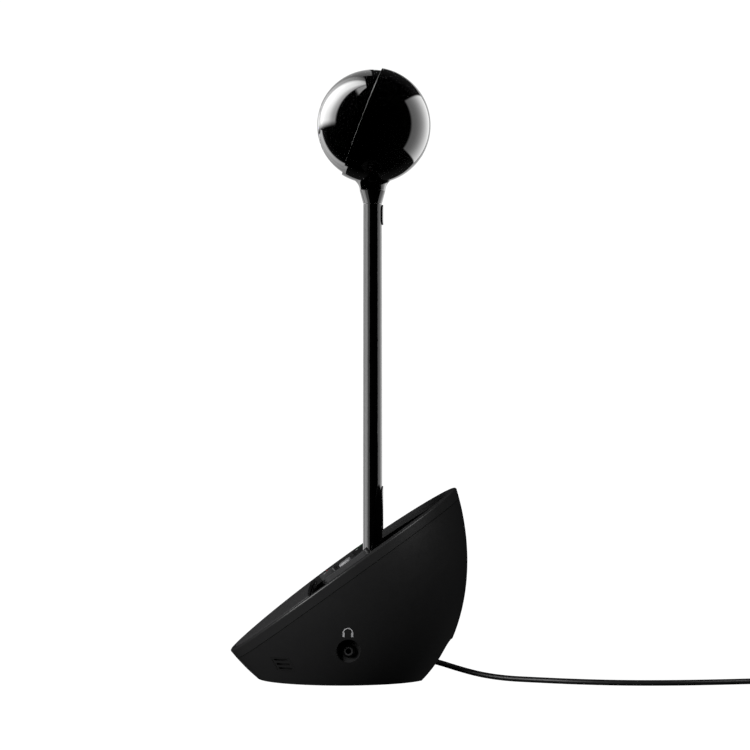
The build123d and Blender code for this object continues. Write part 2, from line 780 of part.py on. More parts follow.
def grille_side(shift):
    """The area in front of the bowed line between the grille and the panel."""
    half = CREST_X + GRILLE_OVERRUN
    radius = (half ** 2 + GRILLE_BOW ** 2) / (2 * GRILLE_BOW)
    line_u = GRILLE_EDGE_U - GRILLE_BOW + shift
    block = Pos(0, line_u - BIG / 4) * Rectangle(BIG / 2, BIG / 2)
    bulge = Pos(0, line_u + radius) * Circle(radius)
    strip = Pos(0, line_u + GRILLE_BOW) * Rectangle(BIG / 2, 2 * GRILLE_BOW)
    return block + (strip - bulge)


def grille_area(gap):
    """The grille's outline, drawn in by a gap."""
    return face_outline(gap) & grille_side(-gap)


def speaker_grille():
    """The crowned grille with a hem turned down round its edge."""
    sheet = crown_layer(grille_area(EDGE_GAP), GRILLE_TOP - GRILLE_THICK, GRILLE_TOP)
    hem = grille_area(EDGE_GAP) - grille_area(EDGE_GAP + GRILLE_HEM)
    return sheet + crown_layer(hem, PANEL_TOP - PANEL_THICK, GRILLE_TOP - GRILLE_THICK + JOIN)


def key_outline(key, grow=0.0):
    """A round-ended outline along the longer side of a key."""
    x, u, length, width = key
    long_side = max(length, width) + 2 * grow
    short_side = min(length, width) + 2 * grow
    turn = 90 if length >= width else 0
    return Pos(x, u) * SlotOverall(long_side, short_side, rotation=turn)


def control_panel():
    """The sunk panel behind the grille, with an opening for each key and for the pole's plug."""
    outline = face_outline(EDGE_GAP) - grille_side(EDGE_GAP)
    plate = crown_layer(outline, PANEL_TOP - PANEL_THICK, PANEL_TOP)
    for key in KEYS:
        plate -= prism(key_outline(key, KEY_GAP), -CLEAR, CLEAR)
    return plate - oval_post(PLUG_X + PANEL_HOLE_GAP, PLUG_Y + PANEL_HOLE_GAP, 0, BIG)


def key_flange(outline):
    """The hidden rim that stops a key lifting out."""
    return prism(outline, KEY_FLANGE_TOP - KEY_FLANGE_THICK, KEY_FLANGE_TOP)


def key_cap(key, top):
    """A cap with rounded upper edges and a hidden flange."""
    cap = prism(key_outline(key), KEY_FLANGE_TOP - JOIN, top)
    upper = cap.faces().sort_by(lambda face: (FACE.inverse() * Pos(*face.center())).position.Z)[-1]
    cap = fillet(upper.edges(), KEY_ROUNDING)
    return cap + key_flange(key_outline(key, KEY_FLANGE))


def volume_rocker():
    """A long key with a rounded roof that dips slightly in the middle."""
    x, u, length, width = VOLUME_KEY
    cap = prism(key_outline(VOLUME_KEY), KEY_FLANGE_TOP - JOIN, VOLUME_TOP)
    roof_w = VOLUME_TOP - ROCKER_ROOF_RADIUS
    roof = FACE * Pos(x, u, roof_w) * ALONG_Y * Cylinder(ROCKER_ROOF_RADIUS, CLEAR)
    saddle_w = VOLUME_TOP - ROCKER_SADDLE_DEPTH + ROCKER_SADDLE_RADIUS
    saddle = FACE * Pos(x, u, saddle_w) * ALONG_X * Cylinder(ROCKER_SADDLE_RADIUS, CLEAR)
    middle = Pos(x, u) * Rectangle(width + 2 * KEY_FLANGE, length / 2)
    return (cap & roof) - saddle + key_flange(middle)


def on_pad(w):
    """The middle of the four-way pad, at a height above the tilted face."""
    return FACE * Pos(PAD_KEY[0], PAD_KEY[1], w)


def four_way_pad():
    """The pad with a socket for its pivot post."""
    return key_cap(PAD_KEY, PAD_TOP) - on_pad(PAD_HOLE_W) * Cylinder(PAD_HOLE_RADIUS, PAD_HOLE_DEPTH)


def pad_pivot():
    """The short post that the pad rocks on."""
    return on_pad(PIVOT_W) * Cylinder(PIVOT_RADIUS, PIVOT_HEIGHT)


def under_key_sheet(low, high):
    """A sheet under all the keys, cut round the pole's socket."""
    centre_u = (MAT_LOW_U + MAT_HIGH_U) / 2
    outline = Pos(0, centre_u) * RectangleRounded(2 * MAT_HALF_X, MAT_HIGH_U - MAT_LOW_U, MAT_CORNER)
    surround = 2 * SOCKET_WALL + SOCKET_SURROUND
    return prism(outline, low, high) - oval_post(PLUG_X + surround, PLUG_Y + surround, 0, BIG)


def dome_places():
    """Where a rubber dome stands under each pressing point."""
    volume_x, volume_u = VOLUME_KEY[:2]
    pad_x, pad_u = PAD_KEY[:2]
    places = [key[:2] for key in (END_KEY, ANSWER_KEY, MUTE_KEY)]
    for side in (-1, 1):
        places.append((volume_x, volume_u + side * VOLUME_DOME_U))
        places.append((pad_x + side * PAD_DOME_X, pad_u))
    return places


def key_mat():
    """The rubber sheet with a dome under each pressing point."""
    mat = under_key_sheet(MAT_TOP - MAT_THICK, MAT_TOP)
    for x, u in dome_places():
        dome = Cone(DOME_LOW_RADIUS, DOME_TOP_RADIUS, DOME_HEIGHT)
        mat += FACE * Pos(x, u, MAT_TOP + DOME_HEIGHT / 2) * dome
    return mat


def pole_socket():
    """The oval sleeve in the base that the pole's foot plugs into."""
    outside = oval_post(PLUG_X + 2 * SOCKET_WALL, PLUG_Y + 2 * SOCKET_WALL, PLUG_LOW_Z - SOCKET_FLOOR, BIG)
    outside = outside & crown(PANEL_TOP - PANEL_THICK)
    clearance = 2 * SOCKET_CLEARANCE
    return outside - oval_post(PLUG_X + clearance, PLUG_Y + clearance, PLUG_LOW_Z - JOIN, BIG)


save("speaker_grille", speaker_grille())
save("control_panel", control_panel())
save("key_mat", key_mat())
save("key_board", under_key_sheet(MAT_TOP - MAT_THICK - BOARD_THICK, MAT_TOP - MAT_THICK))
save("pole_socket", pole_socket())
save("volume_rocker", volume_rocker())
save("end_key", key_cap(END_KEY, END_TOP))
save("answer_key", key_cap(ANSWER_KEY, ANSWER_TOP))
save("mute_key", key_cap(MUTE_KEY, MUTE_TOP))
save("four_way_pad", four_way_pad())
save("pad_pivot", pad_pivot())


# ================================================================ pole
def pole_outside():
    """The slightly tapered oval outside of the pole."""
    bottom = Pos(0, AXIS_Y, POLE_LOW_Z) * Ellipse(POLE_X / 2, POLE_Y_BOTTOM / 2)
    top = Pos(0, AXIS_Y, POLE_TOP_Z) * Ellipse(POLE_X / 2, POLE_Y_TOP / 2)
    return loft([bottom, top])


def button_block(button, grow, front_y, back_y):
    """A round-ended block along the pole, from one depth to another."""
    low, high, width = button
    outline = SlotOverall(high - low + 2 * grow, width + 2 * grow, rotation=90)
    plane = Plane(origin=(0, front_y, (low + high) / 2), x_dir=(1, 0, 0), z_dir=(0, -1, 0))
    return extrude(plane * outline, front_y - back_y)


def stand_tube():
    """The pole's outer tube, cut to the panel and open for its two buttons."""
    tube = pole_outside() - oval_post(PLUG_X + PLUG_FIT, PLUG_Y + PLUG_FIT, 0, BIG)
    tube -= crown(PANEL_TOP + POLE_SEAT_GAP)
    for button in (LOWER_BUTTON, UPPER_BUTTON):
        tube -= button_block(button, BUTTON_GAP, AXIS_Y + BUTTON_SLOT_FRONT, AXIS_Y + BUTTON_SLOT_BACK)
    return tube


def release_button(button):
    """A long pill that stands a little proud of the pole's rounded back."""
    block = button_block(button, 0, BUTTON_INNER_Y, AXIS_Y + BUTTON_SLOT_BACK)
    size_x = POLE_X + 2 * BUTTON_PROUD
    size_y = POLE_Y_TOP + BUTTON_OVAL_GROWTH + 2 * BUTTON_PROUD
    return block & oval_post(size_x, size_y, POLE_LOW_Z, BIG)


def button_room(room):
    """The space that a button is pressed into."""
    width, height, middle_z, gap = room
    front = BUTTON_INNER_Y - BUTTON_TRAVEL - gap
    return Pos(0, front + BUTTON_ROOM_DEPTH / 2, middle_z) * Box(width, BUTTON_ROOM_DEPTH, height)


def stand_foot_plug():
    """The oval plug at the pole's foot."""
    plug = oval_post(PLUG_X, PLUG_Y, PLUG_LOW_Z, PLUG_HIGH_Z)
    return plug - drill(WIRE_HOLE, 0, BIG) - button_room(LOWER_ROOM)


def stand_head_socket():
    """The socket at the pole's top that takes the neck's plug."""
    socket = oval_post(PLUG_X, PLUG_Y, TOP_SOCKET_LOW_Z, POLE_TOP_Z)
    bore_x = NECK_PLUG_X + NECK_PLUG_GAP
    bore_y = NECK_PLUG_Y + NECK_PLUG_GAP
    socket -= oval_post(bore_x, bore_y, NECK_PLUG_LOW_Z - JOIN, BIG)
    return socket - drill(WIRE_HOLE, 0, BIG) - button_room(UPPER_ROOM)


save("stand_tube", stand_tube())
save("stand_foot_plug", stand_foot_plug())
save("stand_head_socket", stand_head_socket())
save("stand_wiring", drill(WIRING_RADIUS, WIRING_LOW_Z, WIRING_HIGH_Z))
save("stand_release_button", release_button(LOWER_BUTTON))
save("neck_release_button", release_button(UPPER_BUTTON))


# ================================================================ neck
def wire_pass():
    """A bore through the neck for the camera's wires."""
    return drill(WIRE_PASS_RADIUS, 0, BIG, WIRE_PASS_X)


def neck_collar():
    """The collar that turns the oval pole into the round pan joint, with its boss."""
    bottom = Pos(0, AXIS_Y, COLLAR_LOW_Z) * Ellipse(POLE_X / 2, POLE_Y_TOP / 2)
    top = Pos(0, AXIS_Y, COLLAR_HIGH_Z) * Ellipse(COLLAR_RADIUS, COLLAR_RADIUS)
    collar = loft([bottom, top])
    collar += drill(BOSS_RADIUS, COLLAR_HIGH_Z, FLANGE_TOP_Z)
    collar -= drill(MOTOR_RADIUS, COLLAR_LOW_Z + MOTOR_FLOOR, COLLAR_HIGH_Z, PAN_PITCH)
    collar -= drill(SHAFT_HOLE, COLLAR_LOW_Z, BIG, PAN_PITCH)
    return collar - wire_pass()


def neck_plug():
    """The oval plug under the collar."""
    return oval_post(NECK_PLUG_X, NECK_PLUG_Y, NECK_PLUG_LOW_Z, COLLAR_LOW_Z) - wire_pass()


def pan_motor():
    """The small motor that stands in the collar."""
    low = COLLAR_LOW_Z + MOTOR_FLOOR + MOTOR_END_GAP
    return drill(MOTOR_RADIUS - MOTOR_FIT, low, COLLAR_HIGH_Z - MOTOR_END_GAP, PAN_PITCH)


def pan_retainer():
    """The washer that keeps the head from lifting off its boss."""
    washer = drill(CAVITY_RADIUS - RETAINER_GAP, FLANGE_TOP_Z + RETAINER_LOW, FLANGE_TOP_Z + RETAINER_HIGH)
    return washer - drill(RETAINER_SHAFT_HOLE, 0, BIG, PAN_PITCH) - wire_pass()


def pan_pinion():
    """The motor's toothed wheel and shaft."""
    low = FLANGE_TOP_Z + PAN_GEAR_LIFT
    outline = gear_outline(PAN_PINION_TEETH, PAN_MODULE, 0)
    wheel = Pos(PAN_PITCH, AXIS_Y, low) * extrude(outline, GEAR_WIDTH)
    return wheel + drill(SHAFT_RADIUS, COLLAR_HIGH_Z - SHAFT_SUNK, low, PAN_PITCH)


def pan_ring_gear():
    """The ring of teeth inside the head's flare that the pinion drives."""
    outline = gear_outline(PAN_RING_TEETH, PAN_MODULE, 180 / PAN_RING_TEETH, internal=True)
    body = Circle(CAVITY_RADIUS) - outline
    return Pos(0, AXIS_Y, FLANGE_TOP_Z + PAN_GEAR_LIFT) * extrude(body, GEAR_WIDTH)


def pan_bearing():
    """The plain bearing between the boss and the head's flare."""
    return ring(BEARING_RADIUS, BOSS_RADIUS, COLLAR_HIGH_Z + BEARING_GAP, FLANGE_TOP_Z, 0, AXIS_Y)


save("neck_collar", neck_collar())
save("neck_plug", neck_plug())
save("pan_bearing", pan_bearing())
save("pan_retainer", pan_retainer())
save("pan_motor", pan_motor())
save("pan_pinion", pan_pinion())
save("pan_ring_gear", pan_ring_gear())


# ================================================================ head: rear shell and its drive
def behind_rim(forward):
    """Everything behind a plane across the head, square to the rim's axis."""
    return RIM * Pos(0, 0, forward - BIG / 2) * Box(BIG, BIG, BIG)


def trumpet():
    """The flare that carries the ball on the neck."""
    foot_z = COLLAR_HIGH_Z + PAN_GAP
    foot = Vector(COLLAR_RADIUS, 0, foot_z)
    waist = Vector(TRUMPET_WAIST[0], 0, TRUMPET_WAIST[1])
    flare = Vector(TRUMPET_FLARE[0], 0, TRUMPET_FLARE[1])
    meet = Vector(TRUMPET_MEET[0], 0, TRUMPET_MEET[1])
    profile = Spline(foot, waist, flare, meet, tangents=[TRUMPET_FOOT_SLOPE, TRUMPET_MEET_SLOPE])
    corner = (TRUMPET_MEET[0], 0, TRUMPET_TOP_Z)
    closing = Polyline(meet, corner, (0, 0, TRUMPET_TOP_Z), (0, 0, foot_z), foot)
    section = make_face([profile, closing])
    return Pos(0, AXIS_Y, 0) * revolve(section, Axis.Z)


def radial(angle_down, distance):
    """A place behind the head, with its axis pointing away from the head's centre."""
    return HEAD * Rot(-90 - angle_down, 0, 0) * Pos(0, 0, distance)


def across(radius, length, x, y=0.0):
    """A cylinder along X inside the head."""
    return HEAD * Pos(x, y, 0) * ALONG_X * Cylinder(radius, length)


def head_shell():
    """The rear shell and its flare, open in front for the ball."""
    shell = (HEAD * Sphere(SHELL_RADIUS) + trumpet()) & behind_rim(RIM_FORWARD)
    shell -= HEAD * Sphere(SHELL_INNER)
    shell -= drill(CAVITY_RADIUS, FLANGE_TOP_Z, CAVITY_TOP_Z)
    shell -= drill(PAN_BORE, COLLAR_HIGH_Z, FLANGE_TOP_Z + 1)
    shell -= radial(PLUG_DROP, SHELL_RADIUS) * Cylinder(PLUG_COVER_RADIUS + PLUG_COVER_GAP, PLUG_COVER_LENGTH)
    for side in (-1, 1):
        shell -= across(PIN_RADIUS, PIN_HOLE_LENGTH, side * (SHELL_INNER - PIN_HOLE_INSET))
    return shell


def head_shell_plug():
    """The round cover over the shell's screw."""
    drum = radial(PLUG_DROP, SHELL_RADIUS) * Cylinder(PLUG_COVER_RADIUS, PLUG_COVER_LENGTH)
    return (drum & (HEAD * Sphere(SHELL_RADIUS - PLUG_COVER_SUNK))) - HEAD * Sphere(SHELL_INNER)


def tilt_pins():
    """The two pins that the ball tilts on."""
    inner = BALL_RADIUS - PIN_INSIDE_BALL
    length = PIN_OUTER - inner
    return [across(PIN_RADIUS, length, side * (PIN_OUTER + inner) / 2) for side in (-1, 1)]


def tilt_motor():
    """The motor that tilts the ball."""
    return across(TILT_MOTOR_RADIUS, TILT_MOTOR_LENGTH, TILT_MOTOR_X, TILT_PITCH)


def tilt_pinion():
    """The tilt motor's toothed wheel and shaft."""
    wheel = extrude(gear_outline(TILT_PINION_TEETH, TILT_MODULE, 180 / TILT_PINION_TEETH), GEAR_WIDTH)
    reach = SECTOR_X - TILT_SHAFT_X
    shaft = Pos(0, 0, -reach / 2) * Cylinder(TILT_SHAFT_RADIUS, reach)
    return HEAD * Pos(SECTOR_X, TILT_PITCH, 0) * SIDEWAYS * (wheel + shaft)


def head_chassis():
    """A saddle round the back half of the tilt motor, tied to the back of the shell."""
    bridge = HEAD * Pos(CHASSIS_X, TILT_PITCH + CHASSIS_BEHIND, -CHASSIS_DROP) * Box(*CHASSIS_SIZE)
    saddle_radius = TILT_MOTOR_RADIUS + CHASSIS_SADDLE_GAP
    bridge -= across(saddle_radius, CHASSIS_SADDLE_LENGTH, CHASSIS_X, TILT_PITCH)
    boss = Cylinder(CHASSIS_BOSS_RADIUS, CHASSIS_BOSS_LENGTH)
    bridge += radial(PLUG_DROP, SHELL_INNER - CHASSIS_BOSS_INSET) * boss
    bridge = bridge & (HEAD * Sphere(SHELL_INNER - CHASSIS_SHELL_GAP))
    hole = Cylinder(CHASSIS_SCREW_HOLE, CHASSIS_SCREW_REACH)
    return bridge - radial(PLUG_DROP, CHASSIS_SCREW_REACH) * hole


def head_screw():
    """The screw under the round cover, that ties the shell to the chassis."""
    return radial(PLUG_DROP, HEAD_SCREW_DISTANCE) * Cylinder(HEAD_SCREW_RADIUS, HEAD_SCREW_LENGTH)


save("head_shell", head_shell())
save("head_shell_plug", head_shell_plug())
save("head_chassis", head_chassis())
save("head_screw", head_screw())
save("tilt_pins", *tilt_pins())
save("tilt_motor", tilt_motor())
save("tilt_pinion", tilt_pinion())


# ================================================================ ball: the part that tilts
def ahead(radius, near, far):
    """A cylinder along the lens axis, between two distances in front of the ball's centre."""
    return HEAD * Pos(0, -(near + far) / 2, 0) * ALONG_Y * Cylinder(radius, far - near)


def ball(radius):
    """A sphere round the head's centre, with its poles on the lens axis."""
    return HEAD * ALONG_Y * Rot(0, 0, 90) * Sphere(radius)


def ball_layer(inset, thickness):
    """A hollow sphere, between two depths below the ball's surface."""
    return ball(BALL_RADIUS - inset) - ball(BALL_RADIUS - inset - thickness)


def lens_dome():
    """The ball's front, open for the window and for its two bushes."""
    dome = ball_layer(0, BALL_WALL) - behind_rim(BALL_BACK)
    dome -= ahead(LED_OUTER + LENS_FIT, LENS_NEAR, LENS_FAR)
    return dome - across(BUSH_OUTER, BIG, 0)


def tilt_bushes():
    """The two bushes that run on the tilt pins."""
    bushes = []
    for side in (-1, 1):
        x = side * (BALL_RADIUS - BUSH_INSET)
        bush = across(BUSH_OUTER - BUSH_FIT, BUSH_LENGTH, x) - across(PIN_RADIUS + RUNNING, CLEAR, x)
        bushes.append(bush)
    return bushes


def lens_window():
    """The dark window in front of the lens."""
    return ball_layer(WINDOW_SUNK, WINDOW_THICK) & ahead(WINDOW_RADIUS, LENS_NEAR, LENS_FAR)


def led_ring():
    """The light ring round the window."""
    band = ahead(LED_OUTER, LENS_NEAR, LENS_FAR)
    band -= ahead(WINDOW_RADIUS + LENS_FIT, LENS_BAND_NEAR, LENS_BAND_FAR)
    return ball_layer(LED_SUNK, LED_THICK) & band


def lens_barrel():
    """The flanged tube that holds the lens elements behind the window."""
    tube = ahead(BARREL_RADIUS, *BARREL_SPAN)
    tube += ahead(BARREL_FLANGE_RADIUS, *BARREL_FLANGE_SPAN) & ball(BALL_RADIUS - BARREL_FLANGE_INSET)
    return tube - ahead(BARREL_BORE, *BARREL_BORE_SPAN)


def tilt_sector():
    """A toothed quadrant on the side of the ball, centred on the tilt axis."""
    wheel = extrude(gear_outline(TILT_SECTOR_TEETH, TILT_MODULE, 0), GEAR_WIDTH)
    edge_y = SECTOR_REACH * math.cos(math.radians(SECTOR_HALF_ANGLE))
    edge_z = SECTOR_REACH * math.sin(math.radians(SECTOR_HALF_ANGLE))
    corners = [
        (-SECTOR_CORNER, 0),
        (0, -SECTOR_CORNER),
        (edge_y, -edge_z),
        (edge_y, edge_z),
        (0, SECTOR_CORNER),
    ]
    wedge = make_face(Polyline(*corners, close=True))
    wheel = wheel & extrude(wedge, GEAR_WIDTH)
    hub_length = BALL_RADIUS - SECTOR_WALL - SECTOR_X
    hub = Pos(0, 0, hub_length / 2) * Cylinder(SECTOR_HUB, hub_length)
    hub -= Pos(0, 0, SECTOR_PIN_X) * Cylinder(PIN_RADIUS + SECTOR_PIN_GAP, SECTOR_PIN_DEPTH)
    return HEAD * Pos(SECTOR_X, 0, 0) * SIDEWAYS * (wheel + hub)


save("lens_dome", lens_dome())
save("tilt_bushes", *tilt_bushes())
save("lens_window", lens_window())
save("led_ring", led_ring())
save("lens_barrel", lens_barrel())
save("lens_elements", *[ahead(ELEMENT_RADIUS, *span) for span in ELEMENT_SPANS])
save("sensor_board", HEAD * Pos(0, SENSOR_Y, 0) * Box(*SENSOR_SIZE))
save("tilt_sector", tilt_sector())


# ================================================================ USB lead, coil and plug
def turn_radius(before, here, after):
    """The largest arc that the two runs beside a corner allow."""
    arriving = here - before
    leaving = after - here
    half_turn = math.radians(arriving.get_angle(leaving)) / 2
    return BEND_SHARE * min(arriving.length, leaving.length) / math.tan(half_turn)


def cord_tube(route):
    """The round lead along its route, with every corner turned as widely as it can be."""
    points = [Vector(*point) for point in route]
    radii = [turn_radius(*points[i - 1:i + 2]) for i in range(1, len(points) - 1)]
    path = FilletPolyline(*points, radius=radii)
    start = Plane(origin=points[0], z_dir=points[1] - points[0])
    return sweep(start * Circle(CORD_RADIUS), path)


def coil_solid():
    """The outline of the coiled rest of the lead, as one ring."""
    middle = ((COIL_INNER + COIL_OUTER) / 2, (COIL_HEIGHT + COIL_LOW) / 2)
    section = Pos(*middle) * RectangleRounded(COIL_OUTER - COIL_INNER, COIL_HEIGHT - COIL_LOW, CORD_RADIUS)
    return Pos(*COIL_CENTRE, 0) * revolve(Plane.XZ * section, Axis.Z)


def usb_plug():
    """A generic USB plug, lying across the coil."""
    half = PLUG_BODY[0] / 2
    body = Box(*PLUG_BODY)
    body = fillet(body.edges().filter_by(Axis.X), PLUG_BODY_ROUNDING)
    tongue = Pos(half + PLUG_SHELL[0] / 2, 0, 0) * Box(*PLUG_SHELL)
    mouth = Pos(half + PLUG_SHELL[0], 0, PLUG_MOUTH_LIFT) * Box(*PLUG_MOUTH)
    relief = Rot(0, -90, 0) * Cone(PLUG_RELIEF_WIDE, TAPER_NARROW, PLUG_RELIEF_LENGTH)
    relief = Pos(-half - PLUG_RELIEF_LENGTH / 2, 0, 0) * relief
    plug = body + tongue - mouth + relief
    return Pos(*PLUG_PLACE, COIL_HEIGHT + PLUG_BODY[2] / 2) * Rot(0, 0, PLUG_TURN) * plug


save("usb_lead", cord_tube(CORD_ROUTE))
save("usb_lead_coil", coil_solid())
save("usb_plug", usb_plug())
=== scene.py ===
import bmesh
import bpy
import json
import math
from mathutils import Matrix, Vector


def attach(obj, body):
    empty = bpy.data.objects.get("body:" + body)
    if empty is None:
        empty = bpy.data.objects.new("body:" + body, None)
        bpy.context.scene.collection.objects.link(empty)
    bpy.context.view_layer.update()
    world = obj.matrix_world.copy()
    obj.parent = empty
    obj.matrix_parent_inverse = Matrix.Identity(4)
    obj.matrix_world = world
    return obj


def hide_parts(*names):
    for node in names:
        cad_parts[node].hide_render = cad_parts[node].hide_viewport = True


# A desktop pan-tilt conference camera: gloss black ball, neck and pole on a satin speakerphone base.
# Metres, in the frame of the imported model: +Z up, -Y the front, +X the side with the headset jack.

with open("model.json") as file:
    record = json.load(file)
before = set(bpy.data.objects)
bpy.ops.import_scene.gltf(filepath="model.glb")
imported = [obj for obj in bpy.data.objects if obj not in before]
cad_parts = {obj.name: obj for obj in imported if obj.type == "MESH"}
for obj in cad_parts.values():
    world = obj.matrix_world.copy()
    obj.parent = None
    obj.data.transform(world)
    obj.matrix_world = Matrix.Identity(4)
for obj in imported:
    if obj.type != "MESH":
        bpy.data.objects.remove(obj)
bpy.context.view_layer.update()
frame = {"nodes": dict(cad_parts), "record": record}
nodes = frame["nodes"]
bodies = frame["record"]["behaviour"]["bodies"]
scene = bpy.context.scene
MM = 0.001

# ---------------------------------------------------------------- driving sizes
FACE_ORIGIN = Vector((0.0, -5.6, 71.35)) * MM
FACE_TILT = math.radians(35.8)
FACE_CROWN = 2010.0 * MM
FACE_UP = Vector((0.0, math.cos(FACE_TILT), math.sin(FACE_TILT)))
FACE_OUT = Vector((0.0, -math.sin(FACE_TILT), math.cos(FACE_TILT)))
HEAD = Vector((0.0, 14.8, 349.3)) * MM
CORD_DIAMETER = 3.6 * MM


def on_face(x, u, w):
    """A point given across, up and out of the crowned face, in millimetres."""
    fall = (u * MM) ** 2 / (2 * FACE_CROWN)
    return FACE_ORIGIN + Vector((x * MM, 0, 0)) + FACE_UP * (u * MM) + FACE_OUT * (w * MM - fall)


# ================================================================ camera
CAMERA_PLACE = Vector((1.920, 0.0133, 0.204))
CAMERA_AIM = Vector((0.0, 0.0163, 0.192))
VIEW_WIDTH = 0.473
SENSOR = 36.0


def add_camera():
    data = bpy.data.cameras.new("camera")
    data.sensor_width = SENSOR
    data.lens = SENSOR * (CAMERA_PLACE - CAMERA_AIM).length / VIEW_WIDTH
    camera = bpy.data.objects.new("camera", data)
    camera.location = CAMERA_PLACE
    camera.rotation_euler = (CAMERA_AIM - CAMERA_PLACE).to_track_quat("-Z", "Y").to_euler()
    scene.collection.objects.link(camera)
    scene.camera = camera


add_camera()

# ================================================================ USB lead
# Centre line from the strain relief to the coil, in millimetres.
CORD_ROUTE = [
    (0.0, 44.0, 13.6),
    (0.6, 55.0, 11.3),
    (2.4, 68.0, 7.2),
    (6.2, 82.5, 3.6),
    (12.6, 98.0, 1.9),
    (22.0, 117.0, 1.9),
    (32.6, 141.0, 1.9),
    (39.6, 170.0, 1.9),
    (39.6, 200.0, 1.9),
    (35.2, 228.0, 1.9),
    (29.4, 252.0, 1.9),
    (27.0, 270.0, 1.9),
    (26.4, 283.0, 1.9),
]
CORD_TAIL = [
    (25.6, 281.4, 13.3),
    (30.2, 290.0, 14.6),
    (29.6, 300.0, 16.4),
    (23.4, 306.4, 18.2),
    (16.4, 307.0, 18.5),
]
COIL_CENTRE = (2.0, 292.0)
COIL_RADII = (24.7, 20.7, 16.7)
COIL_LOW = 1.9
COIL_LAYERS = 4
COIL_RISE = 3.6
TURN_POINTS = 16
STEP_SHARE = 0.25      # of a turn, in which the cord steps over to the next
LAST_TURN = 0.85       # how much of the last turn is wound
SPAN_PIECES = 6
BEVEL_PIECES = 5


def coil_turns():
    """Neat turns, three side by side and four high, wound inwards and outwards by turns."""
    points = []
    places = []
    for layer in range(COIL_LAYERS):
        radii = COIL_RADII if layer % 2 == 0 else COIL_RADII[::-1]
        places += [(radius, COIL_LOW + layer * COIL_RISE) for radius in radii]
    for turn, (radius, height) in enumerate(places):
        after = places[min(turn + 1, len(places) - 1)]
        for k in range(TURN_POINTS):
            share = k / TURN_POINTS
            if turn == len(places) - 1 and share > LAST_TURN:
                break
            blend = max(0.0, (share - 1 + STEP_SHARE) / STEP_SHARE)
            r = radius + (after[0] - radius) * blend
            z = height + (after[1] - height) * blend
            angle = 2 * math.pi * share
            x = COIL_CENTRE[0] + r * math.cos(angle)
            y = COIL_CENTRE[1] + r * math.sin(angle)
            points.append((x, y, z))
    return points


def add_cord():
    """The lead as a tube mesh on its centre line, from the strain relief to the end of the coil."""
    route = CORD_ROUTE + coil_turns() + CORD_TAIL
    curve = bpy.data.curves.new("usb_cord", "CURVE")
    curve.dimensions = "3D"
    curve.resolution_u = SPAN_PIECES
    spline = curve.splines.new("NURBS")
    spline.points.add(len(route) - 1)
    for point, place in zip(spline.points, route):
        point.co = (*(value * MM for value in place), 1.0)
    spline.order_u = 3
    spline.use_endpoint_u = True
    line = bpy.data.objects.new("usb_cord_line", curve)
    path = [tuple(vertex.co) for vertex in bpy.data.meshes.new_from_object(line).vertices]
    curve.bevel_depth = CORD_DIAMETER / 2
    curve.bevel_resolution = BEVEL_PIECES
    curve.use_fill_caps = True
    tube = bpy.data.meshes.new_from_object(line)
    tube.name = "usb_cord"
    bpy.data.objects.remove(line)
    for face in tube.polygons:
        face.use_smooth = True
    cord = bpy.data.objects.new("usb_cord", tube)
    scene.collection.objects.link(cord)
    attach(cord, "base")
    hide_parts("usb_lead", "usb_lead_coil")
    return cord


cord = add_cord()


# ================================================================ materials
# Scales are in cells per metre, and bump distances in metres.
CLOUD_SCALE = 35.0
POLISH_SCALE = 210.0
GRAIN_DETAIL = 2.0
NOISE_ROUGHNESS = 0.55
NOISE_LOW, NOISE_HIGH = 0.3, 0.7
COOLNESS = 1.02        # a grey's blue, against its red and green


def shader(material):
    return material.node_tree.nodes["Principled BSDF"]


def texture_place(tree):
    """Object coordinates, in metres."""
    return tree.nodes.new("ShaderNodeTexCoord").outputs["Object"]


def add_noise(tree, scale, detail=4.0):
    noise = tree.nodes.new("ShaderNodeTexNoise")
    noise.inputs["Scale"].default_value = scale
    noise.inputs["Detail"].default_value = detail
    noise.inputs["Roughness"].default_value = NOISE_ROUGHNESS
    tree.links.new(texture_place(tree), noise.inputs["Vector"])
    return noise.outputs["Fac"]


def spread(tree, value, low, high):
    """Map a noise value to a range."""
    ramp = tree.nodes.new("ShaderNodeMapRange")
    ramp.inputs["From Min"].default_value = NOISE_LOW
    ramp.inputs["From Max"].default_value = NOISE_HIGH
    ramp.inputs["To Min"].default_value = low
    ramp.inputs["To Max"].default_value = high
    tree.links.new(value, ramp.inputs["Value"])
    return ramp.outputs["Result"]


def tint(tree, value, dark, light):
    """Blend two greys or colours by a noise value."""
    mix = tree.nodes.new("ShaderNodeMix")
    mix.data_type = "RGBA"
    mix.inputs["A"].default_value = (*dark, 1.0)
    mix.inputs["B"].default_value = (*light, 1.0)
    tree.links.new(value, mix.inputs["Factor"])
    return mix.outputs["Result"]


def add_bump(tree, height, distance):
    bump = tree.nodes.new("ShaderNodeBump")
    bump.inputs["Strength"].default_value = 1.0
    bump.inputs["Distance"].default_value = distance
    tree.links.new(height, bump.inputs["Height"])
    return bump.outputs["Normal"]


def plastic(name, dark, light, rough, grain, depth, metallic=0.0):
    """Moulded plastic: slight shade variation, uneven polish and a fine grain."""
    material = bpy.data.materials.new(name)
    material.use_nodes = True
    tree = material.node_tree
    bsdf = shader(material)
    bsdf.inputs["Metallic"].default_value = metallic
    cloud = add_noise(tree, CLOUD_SCALE)
    tree.links.new(tint(tree, cloud, dark, light), bsdf.inputs["Base Color"])
    polish = spread(tree, add_noise(tree, POLISH_SCALE), *rough)
    tree.links.new(polish, bsdf.inputs["Roughness"])
    bumps = add_bump(tree, add_noise(tree, grain, GRAIN_DETAIL), depth)
    tree.links.new(bumps, bsdf.inputs["Normal"])
    return material


def grey(value):
    return (value, value, value * COOLNESS)


